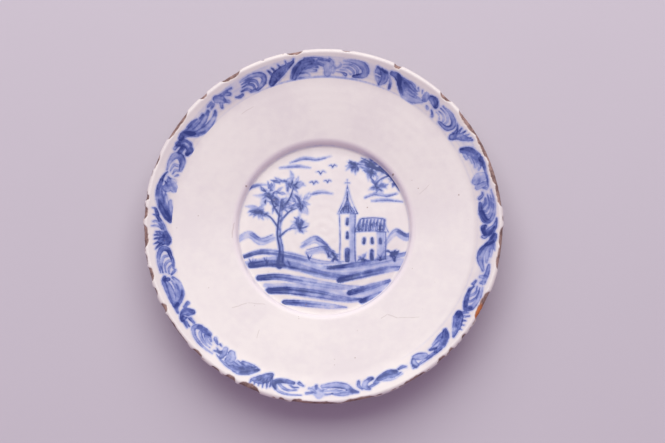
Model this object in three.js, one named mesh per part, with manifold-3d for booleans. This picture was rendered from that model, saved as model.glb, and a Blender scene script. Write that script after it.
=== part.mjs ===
// Tin-glazed earthenware plate with a broad flange round a small sunken well.
//
// A clay body is thrown in one piece: a flat well floor, a short steep wall, a gently
// sloping flange, an upturned rim with a rounded lip, and a turned foot ring below.
// Two coats of white glaze lie on it. One runs from the well over the lip and down the
// back to the outside of the foot ring, and the other fills the recess inside the ring.
// The standing edge of the foot is bare clay, and so is the lip wherever the coat has
// chipped away. Each chip takes a deep bite out of the coat and a shallow one out of
// the clay under it.
//
// Millimetres, +Z up. The origin is the centre of the circle that the foot stands on,
// and +Y is the top of the plate when it is stood up to be looked at.

import * as THREE from "three";
import { mergeVertices } from "three/addons/utils/BufferGeometryUtils.js";
import Module from "manifold-3d";

// The face, measured on the surface of the glaze
const rimRadius = 120; // outermost point of the lip
const rimWidth = 18.5; // from where the flange turns up to the outermost point
const wellRadius = 59.5; // top edge of the well's wall, before it is rounded
const wallRun = 2; // width of the well's wall, seen from above
const wellDepth = 6;
const flangeSlope = THREE.MathUtils.degToRad(10);
const rimSlope = THREE.MathUtils.degToRad(30);

// Roundings of the face where one stretch meets the next
const floorRounding = 1.5;
const wellLipRounding = 4.5;
const borderRounding = 16;

// Thickness from face to back, with both coats of glaze
const floorThickness = 7;
const wallThickness = 6.5;
const flangeThickness = 5.5;
const rimThickness = 4.6;

// The foot ring
const footWidth = 5; // across the standing edge
const footHeight = 4; // from the recess inside the ring down to the standing edge
const footDraft = 0.8; // how much wider each side is at the root than at the edge
const footRounding = 0.7;
const footGap = 0.25; // flat ring between the glazed foot and the rounding of the wall

// The glaze
const glazeThickness = 0.5;
const bareBand = 0.5; // bare clay above the rounding of the standing edge
const leastRounding = 1; // of a corner that lies inside the bend

// Chips along the lip: where each starts and ends, in degrees clockwise from +Y seen
// from above, and how far it reaches in over the face
const chips = [
  { from: 23.6, to: 26.6, reach: 3.0 },
  { from: 41.4, to: 46.2, reach: 2.8 },
  { from: 49.5, to: 85.0, reach: 3.2 },
  { from: 91.0, to: 105.5, reach: 2.6 },
  { from: 112.3, to: 122.7, reach: 3.4 },
  { from: 163.0, to: 191.0, reach: 2.4 },
  { from: 200.3, to: 207.7, reach: 3.4 },
  { from: 208.6, to: 212.8, reach: 2.7 },
  { from: 240.3, to: 244.0, reach: 2.8 },
  { from: 251.3, to: 256.5, reach: 2.7 },
  { from: 262.2, to: 270.6, reach: 3.2 },
  { from: 271.8, to: 276.6, reach: 2.8 },
  { from: 298.8, to: 310.8, reach: 2.9 },
  { from: 324.8, to: 332.3, reach: 3.2 },
  { from: 347.8, to: 353.8, reach: 2.7 },
];
const chipOverreach = 1.3; // how far a chip's tool stands past the lip, above and below
const clayBite = 0.6; // how far a chip reaches into the edge of the clay

// How finely the round surfaces are divided
const turns = 56;
const lipSteps = 5;
const arcStep = THREE.MathUtils.degToRad(17);
const leastArcSteps = 2;
const mostOfSide = 0.45; // share of a side that the rounding of one corner may take
const chipSteps = { along: 8, around: 6 };

// Places and heights of the face
const borderRadius = rimRadius - rimWidth;
const floorRadius = wellRadius - wallRun;
const floorHeight = footHeight + floorThickness;
const wellLipHeight = floorHeight + wellDepth;
const borderHeight = wellLipHeight + (borderRadius - wellRadius) * Math.tan(flangeSlope);
const lipRadius = rimThickness / 2; // of the half-round at the edge
const lipCentre = new THREE.Vector2(
  rimRadius - lipRadius,
  borderHeight +
    (rimRadius - lipRadius - borderRadius) * Math.tan(rimSlope) -
    lipRadius / Math.cos(rimSlope),
);

// The straight stretches of the face from the axis outwards: a point on each, the angle
// at which it climbs and the thickness of the plate there.
const wallSlope = Math.atan2(wellDepth, wallRun);
const stretches = [
  { r: 0, z: floorHeight, slope: 0, thickness: floorThickness },
  { r: floorRadius, z: floorHeight, slope: wallSlope, thickness: wallThickness },
  { r: wellRadius, z: wellLipHeight, slope: flangeSlope, thickness: flangeThickness },
  { r: borderRadius, z: borderHeight, slope: rimSlope, thickness: rimThickness },
];
const roundings = [floorRounding, wellLipRounding, borderRounding];

// A stretch moved a distance square to itself, towards the back of the plate.
function lowered({ r, z, slope }, distance) {
  return {
    r: r + Math.sin(slope) * distance,
    z: z - Math.cos(slope) * distance,
    slope,
  };
}

// The point where two stretches cross.
function crossing(a, b) {
  const along = new THREE.Vector2(Math.cos(a.slope), Math.sin(a.slope));
  const other = new THREE.Vector2(Math.cos(b.slope), Math.sin(b.slope));
  const apart = new THREE.Vector2(b.r - a.r, b.z - a.z);
  const travel = apart.cross(other) / along.cross(other);
  return new THREE.Vector2(a.r, a.z).addScaledVector(along, travel);
}

// The points of an arc that rounds a corner between two neighbouring points, as far as
// the shorter side leaves room.
function rounded(before, corner, after, radius) {
  const back = before.clone().sub(corner);
  const on = after.clone().sub(corner);
  const half = Math.acos(back.dot(on) / (back.length() * on.length())) / 2;
  const room = mostOfSide * Math.min(back.length(), on.length());
  const cut = Math.min(radius / Math.tan(half), room);
  const start = corner.clone().addScaledVector(back.normalize(), cut);
  const end = corner.clone().addScaledVector(on.normalize(), cut);
  const reach = cut / Math.cos(half);
  const centre = corner
    .clone()
    .addScaledVector(start.clone().add(end).multiplyScalar(0.5).sub(corner).normalize(), reach);
  const first = start.clone().sub(centre);
  const last = end.clone().sub(centre);
  const turn = Math.atan2(first.cross(last), first.dot(last));
  const steps = Math.max(Math.round(Math.abs(turn) / arcStep), leastArcSteps);
  return Array.from({ length: steps + 1 }, (_, i) =>
    first
      .clone()
      .rotateAround(new THREE.Vector2(), (turn * i) / steps)
      .add(centre),
  );
}

// The line of the face or of the back, from the axis to the start of the lip, at a
// given depth under the face: depthOf gives it for each stretch.
function surfaceLine(depthOf, lipPoint) {
  const lines = stretches.map((stretch) => lowered(stretch, depthOf(stretch)));
  const corners = [
    new THREE.Vector2(0, lines[0].z),
    ...lines.slice(1).map((line, i) => crossing(lines[i], line)),
    lipPoint,
  ];
  const points = [corners[0]];
  roundings.forEach((radius, i) => {
    const hollow = stretches[i + 1].slope > stretches[i].slope;
    const depth = depthOf(stretches[i + 1]);
    const own = Math.max(hollow ? radius + depth : radius - depth, leastRounding);
    points.push(...rounded(corners[i], corners[i + 1], corners[i + 2], own));
  });
  points.push(lipPoint);
  return points;
}

// The lip's half-round, from the face to the back, at a depth under the glaze.
function lipArc(depth) {
  const radius = lipRadius - depth;
  return Array.from({ length: lipSteps + 1 }, (_, i) => {
    const angle = Math.PI / 2 + rimSlope - (Math.PI * i) / lipSteps;
    return new THREE.Vector2(radius * Math.cos(angle), radius * Math.sin(angle)).add(lipCentre);
  });
}

// The whole outline of the plate at a depth under the glaze, without its foot: from the
// axis over the face, round the lip and along the back to the axis again.
function outline(depth) {
  const arc = lipArc(depth);
  const face = surfaceLine(() => depth, arc[0]);
  const back = surfaceLine(({ thickness }) => thickness - depth, arc[lipSteps]);
  return { face, arc: arc.slice(1, -1), back: back.reverse() };
}

const glazeOutline = outline(0);
const clayOutline = outline(glazeThickness);

// The clay's foot stands just inside the rounding of the wall: its outer side down to
// the coat's edge, its bare standing edge, and its inner side up from the coat's edge
const flatEnd = glazeOutline.back.at(-2).x;
const footOuter = flatEnd - footGap - glazeThickness - footDraft;
const footInner = footOuter - footWidth;
const clayRecess = clayOutline.back.at(-1).y;
const coatEdge = footRounding + bareBand;
const widened = (height) => (footDraft * height) / clayRecess;
const outerRoot = new THREE.Vector2(footOuter + footDraft, clayRecess);
const innerRoot = new THREE.Vector2(footInner - footDraft, clayRecess);
const outerCoatEdge = new THREE.Vector2(footOuter + widened(coatEdge), coatEdge);
const innerCoatEdge = new THREE.Vector2(footInner - widened(coatEdge), coatEdge);
const standingEdge = [
  new THREE.Vector2(footOuter + widened(footRounding), footRounding),
  new THREE.Vector2(footOuter - footRounding, 0),
  new THREE.Vector2(footInner + footRounding, 0),
  new THREE.Vector2(footInner - widened(footRounding), footRounding),
];

// Where the coats of glaze meet the foot: the same sides, one glaze thickness out at
// the root and half of it at the coat's edge
const glazeRecess = glazeOutline.back.at(-1).y;
const outerGlazeRoot = new THREE.Vector2(outerRoot.x + glazeThickness, glazeRecess);
const innerGlazeRoot = new THREE.Vector2(innerRoot.x - glazeThickness, glazeRecess);
const outerGlazeEdge = new THREE.Vector2(outerCoatEdge.x + glazeThickness / 2, coatEdge);
const innerGlazeEdge = new THREE.Vector2(innerCoatEdge.x - glazeThickness / 2, coatEdge);

// A profile, listed from the face round to the back, turned about Z into a solid.
function turned(profile) {
  const geometry = new THREE.LatheGeometry(profile.toReversed(), turns);
  return geometry.rotateX(Math.PI / 2);
}

// The bare clay, from the axis over the face, lip, back and foot.
function clayProfile() {
  const { face, arc, back } = clayOutline;
  return [
    ...face,
    ...arc,
    ...back.slice(0, -1),
    outerRoot,
    outerCoatEdge,
    ...standingEdge,
    innerCoatEdge,
    innerRoot,
    back.at(-1),
  ];
}

// The coat over the face, lip and back, which ends on the outside of the foot.
function coatProfile() {
  const outside = [
    ...glazeOutline.face,
    ...glazeOutline.arc,
    ...glazeOutline.back.slice(0, -1),
    outerGlazeRoot,
    outerGlazeEdge,
  ];
  const inside = [
    ...clayOutline.face,
    ...clayOutline.arc,
    ...clayOutline.back.slice(0, -1),
    outerRoot,
    outerCoatEdge,
  ];
  return [...outside, ...inside.reverse()];
}

// The coat in the recess inside the foot ring.
function recessProfile() {
  return [
    new THREE.Vector2(0, clayRecess),
    innerRoot,
    innerCoatEdge,
    innerGlazeEdge,
    innerGlazeRoot,
    new THREE.Vector2(0, glazeRecess),
  ];
}

const wasm = await Module();
wasm.setup();

// A closed geometry as a solid that can be cut.
function solid(geometry) {
  const bare = geometry.clone();
  bare.deleteAttribute("normal");
  bare.deleteAttribute("uv");
  const merged = mergeVertices(bare);
  return new wasm.Manifold(
    new wasm.Mesh({
      numProp: 3,
      vertProperties: merged.attributes.position.array,
      triVerts: new Uint32Array(merged.index.array),
    }),
  );
}

// A solid as a geometry again.
function geometryOf(made) {
  const mesh = made.getMesh();
  const geometry = new THREE.BufferGeometry();
  geometry.setAttribute("position", new THREE.BufferAttribute(mesh.vertProperties, 3));
  geometry.setIndex(new THREE.BufferAttribute(mesh.triVerts, 1));
  geometry.computeVertexNormals();
  return geometry;
}

// The tool that cuts one chip: a ball stretched along the lip and bent to its circle.
function chipTool({ from, to }, reach) {
  const tool = new THREE.SphereGeometry(1, chipSteps.around, chipSteps.along);
  const middle = THREE.MathUtils.degToRad((from + to) / 2);
  const halfArc = THREE.MathUtils.degToRad((to - from) / 2);
  const halfHeight = lipRadius + chipOverreach;
  const position = tool.attributes.position;
  for (let i = 0; i < position.count; i += 1) {
    const angle = middle + halfArc * position.getY(i);
    const radius = rimRadius + reach * position.getX(i);
    const height = lipCentre.y - halfHeight * position.getZ(i); // minus, as angles run clockwise
    position.setXYZ(i, radius * Math.sin(angle), radius * Math.cos(angle), height);
  }
  return tool;
}

// A turned body with all the chips cut out of its lip.
function chipped(profile, reachOf) {
  const tools = chips.map((chip) => solid(chipTool(chip, reachOf(chip))));
  return geometryOf(tools.reduce((body, tool) => body.subtract(tool), solid(turned(profile))));
}

const clay = new THREE.MeshStandardMaterial({
  name: "biscuit_clay",
  color: 0xa8806f,
  roughness: 0.9,
  metalness: 0,
});
const glaze = new THREE.MeshStandardMaterial({
  name: "tin_glaze",
  color: 0xeee2e2,
  roughness: 0.2,
  metalness: 0,
});

function named(name, geometry, material) {
  const mesh = new THREE.Mesh(geometry, material);
  mesh.name = name;
  return mesh;
}

const plate = new THREE.Group();
plate.add(
  named("clay_body", chipped(clayProfile(), () => clayBite), clay),
  named("glaze_coat", chipped(coatProfile(), ({ reach }) => reach), glaze),
  named("recess_glaze", turned(recessProfile()), glaze),
);

export default plate;
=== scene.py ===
"""A hand-thrown plate of tin-glazed earthenware, painted in cobalt blue.

The clay is one turned body. Two coats of white glaze lie on it: one from the well over
the lip and down the back to the outside of the foot ring, and one in the recess inside
the ring. Both coats end where the clay is bare: at the foot, and along the lip, where
they have chipped away. The painting is laid on stroke by stroke, each with its own
centre line, width and strength of colour.

Millimetres are used while a shape is worked out, and metres once it is a mesh. Angles
round the plate run clockwise from the top of the picture, which is +Y.
"""

import math
from types import SimpleNamespace

import bpy
import numpy as np
from mathutils import Matrix, Vector


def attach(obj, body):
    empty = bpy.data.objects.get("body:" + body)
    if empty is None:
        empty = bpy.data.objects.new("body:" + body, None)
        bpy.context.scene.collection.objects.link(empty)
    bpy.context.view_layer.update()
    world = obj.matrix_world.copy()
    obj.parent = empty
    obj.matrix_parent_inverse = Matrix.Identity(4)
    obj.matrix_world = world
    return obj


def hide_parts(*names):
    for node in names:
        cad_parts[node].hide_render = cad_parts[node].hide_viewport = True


bl_info = {
    "name": "Tin-Glazed Plate",
    "version": (1, 0, 0),
    "blender": (4, 5, 0),
    "location": "View3D > Sidebar > Plate",
    "description": "Builds a chipped earthenware plate with a painted border and well",
    "category": "Add Mesh",
}

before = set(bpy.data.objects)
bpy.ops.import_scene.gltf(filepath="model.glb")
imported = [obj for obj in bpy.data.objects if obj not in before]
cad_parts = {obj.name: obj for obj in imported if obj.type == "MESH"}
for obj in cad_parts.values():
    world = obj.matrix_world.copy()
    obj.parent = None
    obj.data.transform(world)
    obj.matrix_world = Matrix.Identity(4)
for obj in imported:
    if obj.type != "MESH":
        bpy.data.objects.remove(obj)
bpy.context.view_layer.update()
RIM_RADIUS = 0.120

TURN = 2 * math.pi


# Sizes and colours that a user may change


def length(name, description, default):
    """A property for a length, in metres."""
    return bpy.props.FloatProperty(
        name=name, description=description, default=default, min=0, unit="LENGTH", precision=5
    )


def angle(name, description, degrees):
    """A property for an angle, given in degrees."""
    return bpy.props.FloatProperty(
        name=name, description=description, default=math.radians(degrees), subtype="ANGLE"
    )


def colour(name, description, red, green, blue):
    """A property for a colour, given as it is seen on a screen, from 0 to 255."""
    return bpy.props.FloatVectorProperty(
        name=name,
        description=description,
        default=[linear(part) for part in (red, green, blue)],
        min=0,
        max=1,
        subtype="COLOR",
    )


def linear(part):
    """A part of a screen colour, 0 to 255, as a linear share of light."""
    share = part / 255
    return share / 12.92 if share <= 0.04045 else ((share + 0.055) / 1.055) ** 2.4


class PlateSizes(bpy.types.PropertyGroup):
    """The form of the plate"""

    rim_radius: length("Rim Radius", "Outermost point of the glazed lip", RIM_RADIUS)
    rim_width: length("Rim Width", "From where the flange turns up to the lip", 0.0185)
    well_radius: length("Well Radius", "Top edge of the well's wall", 0.0595)
    wall_run: length("Wall Width", "Width of the well's wall seen from above", 0.002)
    well_depth: length("Well Depth", "Height of the well's wall", 0.006)
    flange_slope: angle("Flange Slope", "How steeply the flange climbs", 10)
    rim_slope: angle("Rim Slope", "How steeply the rim climbs", 30)
    floor_rounding: length("Floor Rounding", "Where the floor turns up", 0.0015)
    well_lip_rounding: length("Well Edge Rounding", "Where the wall meets the flange", 0.0045)
    border_rounding: length("Border Rounding", "Where the flange turns up to the rim", 0.016)
    floor_thickness: length("Floor Thickness", "With both coats of glaze", 0.007)
    wall_thickness: length("Wall Thickness", "With both coats of glaze", 0.0065)
    flange_thickness: length("Flange Thickness", "With both coats of glaze", 0.0055)
    rim_thickness: length("Rim Thickness", "With both coats of glaze", 0.0046)
    foot_radius: length("Foot Radius", "Outside of the foot's standing edge", 0.0565)
    foot_width: length("Foot Width", "Across the standing edge", 0.005)
    foot_height: length("Foot Height", "From the glazed recess to the standing edge", 0.004)
    foot_draft: length("Foot Draft", "How much wider each side is at the root", 0.0008)
    foot_rounding: length("Foot Rounding", "Of the standing edge", 0.0009)
    root_rounding: length("Root Rounding", "Where the foot joins the back", 0.0007)
    glaze_thickness: length("Glaze Thickness", "Of the glaze on either side", 0.0005)
    coat_edge: length("Coat Edge", "Height on the foot at which the glaze ends", 0.0014)
    unevenness: length("Unevenness", "How far the throwing strays from a true turn", 0.00012)


class PlateColours(bpy.types.PropertyGroup):
    """The colours of the plate and of what it stands on"""

    glaze: colour("Glaze", "The bare white glaze", 238, 229, 226)
    glaze_shade: colour("Glaze Shade", "Where the glaze is thicker", 231, 221, 221)
    # painted light: a paler, pinker glaze on the wall of the well, which lightens its shade
    painted_wall_light: colour("Glaze on the Wall", "The glaze on the wall of the well", 249, 238, 239)
    wash: colour("Wash", "Thin cobalt", 176, 182, 221)
    body: colour("Body", "Cobalt at middle strength", 109, 122, 187)
    deep: colour("Deep", "Cobalt where it pools", 50, 64, 134)
    thin_edge: colour("Thin Edge", "Where the glaze thins out over clay", 190, 158, 148)
    stain: colour("Stain", "Scratches and specks", 150, 118, 104)
    clay: colour("Clay", "Bare fired clay", 166, 135, 128)
    clay_dark: colour("Dark Clay", "Dirt in the broken clay", 112, 86, 84)
    clay_warm: colour("Warm Clay", "Clay flashed orange in the fire", 190, 112, 66)
    floor: colour("Floor", "What the plate stands on", 205, 196, 206)


def sizes():
    """The plate's sizes, with lengths in millimetres and angles in radians."""
    group = bpy.context.scene.plate_sizes
    found = {}
    for key, definition in group.bl_rna.properties.items():
        if definition.type == "FLOAT":
            scale = 1000 if definition.unit == "LENGTH" else 1
            found[key] = getattr(group, key) * scale
    return SimpleNamespace(**found)


def rgba(name):
    """One of the plate's colours, with full opacity."""
    return (*getattr(bpy.context.scene.plate_colours, name), 1)


# Repeatable unevenness


def lattice(corner, seed):
    """A random share from 0 to 1 for each whole-numbered point, the same in every run."""
    i, j, k = corner.T
    mixed = (i * 73856093) ^ (j * 19349663) ^ (k * 83492791) ^ (seed * 40503)
    mixed = ((mixed ^ (mixed >> 13)) * 1274126177) & 0x7FFFFFFF
    return ((mixed ^ (mixed >> 16)) & 0xFFFF) / 0xFFFF


def noise(points, scale, seed):
    """Smooth noise from -1 to 1 at points in space, with lumps of a size and its own seed."""
    place = np.asarray(points, float) / scale
    base = np.floor(place).astype(np.int64)
    share = place - base
    share = share * share * (3 - 2 * share)
    total = np.zeros(len(place))
    for corner in np.ndindex(2, 2, 2):
        weight = np.prod(np.where(corner, share, 1 - share), axis=1)
        total += weight * lattice(base + corner, seed)
    return total * 2 - 1


def layered(points, layers):
    """Noise of several sizes: how far each layer strays, the size of its lumps, its seed."""
    return sum(reach * noise(points, scale, seed) for reach, scale, seed in layers)


def smooth_step(value, low, high):
    """0 below low and 1 above high, with a soft change between them."""
    share = np.clip((value - low) / (high - low), 0, 1)
    return share * share * (3 - 2 * share)


# The outline that is turned

ARC_STEP = math.radians(4)  # the longest step along a rounding
BACK_ROUNDING = 1.0  # where the flange meets the wall of the well on the back, in mm
NORMAL_REACH = 0.12  # how far to either side a normal looks along the outline, in mm


def crossing(a, b):
    """Where two lines cross, each given as (r, z, slope)."""
    along = np.array([math.cos(a[2]), math.sin(a[2])])
    other = np.array([math.cos(b[2]), math.sin(b[2])])
    apart = np.array([b[0] - a[0], b[1] - a[1]])
    travel = np.cross(apart, other) / np.cross(along, other)
    return np.array(a[:2]) + travel * along


def rounded_path(corners, radii):
    """A line through corners, each rounded by an arc of its own radius."""
    corners = [np.array(corner, float) for corner in corners]
    path = [corners[0]]
    for before, corner, after, radius in zip(corners, corners[1:], corners[2:], radii):
        back = before - corner
        on = after - corner
        back_length, on_length = np.linalg.norm(back), np.linalg.norm(on)
        back, on = back / back_length, on / on_length
        half = math.acos(np.clip(back @ on, -1, 1)) / 2
        cut = min(radius / math.tan(half), 0.49 * min(back_length, on_length))
        start, end = corner + back * cut, corner + on * cut
        middle = (start + end) / 2 - corner
        centre = corner + middle / np.linalg.norm(middle) * cut / math.cos(half)
        first, last = start - centre, end - centre
        turn = math.atan2(np.cross(first, last), first @ last)
        for share in np.linspace(0, 1, max(int(abs(turn) / ARC_STEP), 2) + 1):
            c, s = math.cos(turn * share), math.sin(turn * share)
            path.append(centre + [first[0] * c - first[1] * s, first[0] * s + first[1] * c])
    path.append(corners[-1])
    return np.array(path)


def clay_corners(size):
    """Corners and roundings of the clay's outline: face, lip, back, foot and recess."""
    cover = size.glaze_thickness
    wall_slope = math.atan2(size.well_depth, size.wall_run)
    floor_height = size.foot_height + size.floor_thickness
    well_lip_height = floor_height + size.well_depth
    border_radius = size.rim_radius - size.rim_width
    climb = (border_radius - size.well_radius) * math.tan(size.flange_slope)
    stretches = [
        (0, floor_height, 0, size.floor_thickness),
        (size.well_radius - size.wall_run, floor_height, wall_slope, size.wall_thickness),
        (size.well_radius, well_lip_height, size.flange_slope, size.flange_thickness),
        (border_radius, well_lip_height + climb, size.rim_slope, size.rim_thickness),
    ]

    def lowered(stretch, depth):
        r, z, slope, _ = stretch
        return (r + math.sin(slope) * depth, z - math.cos(slope) * depth, slope)

    face = [lowered(stretch, cover) for stretch in stretches]
    back = [lowered(stretch, stretch[3] - cover) for stretch in stretches]
    rim = stretches[3]
    lip_radius = size.rim_thickness / 2
    lip_r = size.rim_radius - lip_radius
    lip_z = rim[1] + (lip_r - rim[0]) * math.tan(rim[2]) - lip_radius / math.cos(rim[2])
    bare = lip_radius - cover
    along = np.array([math.cos(rim[2]), math.sin(rim[2])]) * bare
    across = np.array([-math.sin(rim[2]), math.cos(rim[2])]) * bare
    centre = np.array([lip_r, lip_z])
    recess = size.foot_height + cover
    inner = size.foot_radius - size.foot_width
    roundings = (size.floor_rounding, size.well_lip_rounding, size.border_rounding)
    corners = [
        (0, face[0][1]),
        *(crossing(a, b) for a, b in zip(face, face[1:])),
        centre + along + across,
        centre + along - across,
        *(crossing(a, b) for a, b in zip(back[:0:-1], back[-2::-1])),
        (size.foot_radius + size.foot_draft, recess),
        (size.foot_radius, 0),
        (inner, 0),
        (inner - size.foot_draft, recess),
        (0, recess),
    ]
    radii = [
        roundings[0] + cover,
        roundings[1] - cover,
        roundings[2] + cover,
        bare,
        bare,
        roundings[2] + size.rim_thickness - cover,
        BACK_ROUNDING,
        roundings[0] + size.wall_thickness - cover,
        size.root_rounding,
        size.foot_rounding,
        size.foot_rounding,
        size.root_rounding,
    ]
    return corners, radii


class Outline:
    """The clay's outline by distance along it, with its normals."""

    def __init__(self, size):
        corners, radii = clay_corners(size)
        dense = rounded_path(corners, radii)
        steps = np.linalg.norm(np.diff(dense, axis=0), axis=1)
        kept = np.append(True, steps > 1e-6)
        self.points = dense[kept]
        steps = np.linalg.norm(np.diff(self.points, axis=0), axis=1)
        self.along = np.append(0, np.cumsum(steps))
        self.end = self.along[-1]
        self.lip = self.along[np.argmax(self.points[:, 0])]
        low = self.points[:, 1] < 1e-3
        self.foot_out, self.foot_in = self.along[low][[0, -1]]

    def at(self, along):
        """Points (r, z) at distances along the outline."""
        r = np.interp(along, self.along, self.points[:, 0])
        z = np.interp(along, self.along, self.points[:, 1])
        return np.column_stack([r, z])

    def normals(self, along):
        """Directions out of the clay at distances along the outline."""
        ahead = self.at(np.minimum(along + NORMAL_REACH, self.end))
        behind = self.at(np.maximum(along - NORMAL_REACH, 0))
        step = ahead - behind
        out = np.column_stack([-step[:, 1], step[:, 0]])
        return out / np.linalg.norm(out, axis=1)[:, None]

    def face_at(self, radius):
        """Distances along the outline at which the face reaches radii."""
        face = self.along <= self.lip
        return np.interp(radius, self.points[face, 0], self.along[face])

    def back_at(self, radius):
        """Distances along the outline at which the back has radii."""
        back = (self.along >= self.lip) & (self.along <= self.foot_out)
        return np.interp(-radius, -self.points[back, 0], self.along[back])


# Rings of points round the turned surface

LEAST_COUNT = 20  # points on the smallest ring


def count_for(radius, cell):
    """How many points a ring has: doubled from the least until they are a cell apart."""
    if radius < 1e-6:
        return 1
    wanted = TURN * radius / (LEAST_COUNT * cell)
    return LEAST_COUNT * 2 ** max(0, math.ceil(math.log2(wanted)))


class Rings:
    """Rings that follow an outline, where neighbours have the same, double or half count."""

    def __init__(self, outline, zones):
        along, cells = [], []
        for start, end, step, cell in zones:
            steps = max(int(round((end - start) / step)), 1)
            along.extend(np.linspace(start, end, steps, endpoint=False))
            cells.extend([cell] * steps)
        along.append(zones[-1][1])
        cells.append(zones[-1][3])
        self.places = np.array(along)
        radii = outline.at(self.places)[:, 0]
        counts = [count_for(radius, cell) for radius, cell in zip(radii, cells)]
        for i in range(1, len(counts)):
            if counts[i] > 1:
                least = max(counts[i - 1] // 2, LEAST_COUNT)
                most = max(counts[i - 1] * 2, LEAST_COUNT)
                counts[i] = min(max(counts[i], least), most)
        for i in range(len(counts) - 2, -1, -1):
            if counts[i] > 1:
                counts[i] = min(counts[i], max(counts[i + 1] * 2, LEAST_COUNT))
        self.counts = counts
        self.first = np.append(0, np.cumsum(counts))
        self.total = int(self.first[-1])
        self.along = np.repeat(self.places, counts)
        self.turn = np.concatenate([np.arange(n) * TURN / n for n in counts])

    def faces(self):
        """Faces between neighbouring rings, as rows of four corners, -1 for none."""
        return np.vstack([self.between(k, k + 1) for k in range(len(self.counts) - 1)])

    def between(self, inner, outer):
        """The faces of one band."""
        a, b = self.counts[inner], self.counts[outer]
        first_a, first_b = self.first[inner], self.first[outer]
        if a == 1:
            j = np.arange(b)
            return rows(first_a + 0 * j, first_b + (j + 1) % b, first_b + j)
        if b == 1:
            j = np.arange(a)
            return rows(first_a + j, first_a + (j + 1) % a, first_b + 0 * j)
        j = np.arange(min(a, b))
        near, near_next = first_a + j, first_a + (j + 1) % a
        far, far_next = first_b + j, first_b + (j + 1) % b
        if a == b:
            return rows(near, near_next, far_next, far)
        if b > a:
            far, middle, far_next = (first_b + (2 * j + i) % b for i in range(3))
            made = (near, middle, far), (near, near_next, middle), (near_next, far_next, middle)
        else:
            near, middle, near_next = (first_a + (2 * j + i) % a for i in range(3))
            made = (near, middle, far), (middle, far_next, far), (middle, near_next, far_next)
        return np.vstack([rows(*corners) for corners in made])


def rows(*corners):
    """Faces of three or four corners as rows of four."""
    if len(corners) == 3:
        corners = (*corners, np.full(len(corners[0]), -1))
    return np.column_stack(corners)


# Where the lip is chipped

# First and last degree of each chip, and how far it reaches in over the face, in mm
CHIPS = (
    (6.0, 9.5, 0.8),
    (23.8, 26.3, 3.0),
    (41.5, 46.0, 2.7),
    (49.8, 60.5, 3.0),
    (59.0, 70.5, 2.7),
    (69.0, 78.0, 3.2),
    (76.5, 84.8, 2.7),
    (91.0, 98.5, 2.4),
    (97.0, 105.0, 2.3),
    (112.5, 122.5, 3.3),
    (128.0, 130.0, 1.0),
    (134.0, 136.0, 1.5),
    (137.5, 140.5, 1.5),
    (145.5, 154.0, 1.2),
    (163.5, 174.0, 1.6),
    (175.0, 190.0, 1.5),
    (186.0, 190.0, 2.2),
    (192.0, 194.0, 1.2),
    (200.5, 207.5, 3.3),
    (208.8, 212.5, 2.4),
    (214.5, 218.0, 1.0),
    (222.0, 226.0, 1.8),
    (228.0, 240.0, 0.8),
    (240.5, 243.8, 2.5),
    (246.5, 249.5, 1.0),
    (251.5, 256.3, 2.4),
    (257.0, 261.0, 0.8),
    (262.5, 270.3, 3.0),
    (272.0, 276.3, 2.6),
    (278.0, 280.2, 2.0),
    (288.0, 294.0, 1.2),
    (299.0, 310.5, 2.6),
    (316.0, 319.0, 2.2),
    (325.0, 332.0, 3.0),
    (339.5, 340.6, 0.7),
    (348.0, 353.5, 2.4),
)
FLASHED = (117.5, 122.5)  # degrees at which the bare clay is flashed orange
RAGGED = ((0.42, 2.1, 11), (0.32, 0.9, 12))  # how a chip's edge strays, in layers of noise
NICK = 0.2  # how deep the clay is broken at the small nicks between the chips, in mm
NICK_SIZE = 2.7  # about how long a nick is, in mm
NICK_STEEP = 3.2  # how steep its sides are
NICK_RARE = (0.3, 0.5)  # how rare the nicks are, and how much rarer near the top
NICK_PLACE = -0.4  # where the middle of their row is, from the lip, in mm
NICK_REACH = 0.7  # how far they reach to either side of it, in mm
# How far down the back a chip reaches, against its reach over the face: at the least, and
# how much more it can be
DOWN_BACK = (0.45, 0.5)
GOLDEN = 0.618  # its multiples, less their whole parts, are spread evenly from 0 to 1
PAST_END = 0.3  # how far a chip can go on past the degrees it is listed with, in mm
NEAR_LIP = 14  # how far from the lip there can be a chip, along the outline in mm
# How deep a chip bites into the clay, in mm: at first, more for each mm of reach, at most
BITE = (0.1, 0.09, 0.38)
BITE_SLOPE = (0.1, 2.2)  # how far inside a chip's edge its bite starts and is full, in mm
CRUMBLED = ((0.13, 1.3, 21), (0.07, 0.6, 22))  # how rough the broken clay is
CRUMBS = 0.08  # how much clay is gone at the least, in mm
UNCUT = 9.0  # what counts as far from any chip, and from the foot, in mm
BURIED = 0.15  # how far the glaze's inner side lies under the clay's surface, in mm
BARE = -BURIED + 1e-9  # height over the clay at and under which there is no glaze, in mm
FRACTURE = 1.5  # how steeply the glaze breaks off at a chip
RIDGE_PITCH = 6.3  # from one throwing ring to the next, in mm
RIDGES = 0.35  # how strong the throwing rings are, against the unevenness
UNTRUE = (1, 6)  # heights between which the throwing comes to stray from a true turn, in mm
FOOT_SIDE = 4  # how far from the standing edge the glaze can end, along the outline in mm
GLAZE_END = ((0.35, 6, 31), (0.12, 1.7, 32))  # how the glaze's edge on the foot strays
GLAZE_VARIES = 0.03  # how much the glaze's thickness varies, as a share of it


def turned(outline, along, turn):
    """Points on the true turned surface, in space."""
    r, z = outline.at(along).T
    return np.column_stack([r * np.sin(turn), r * np.cos(turn), z])


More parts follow.
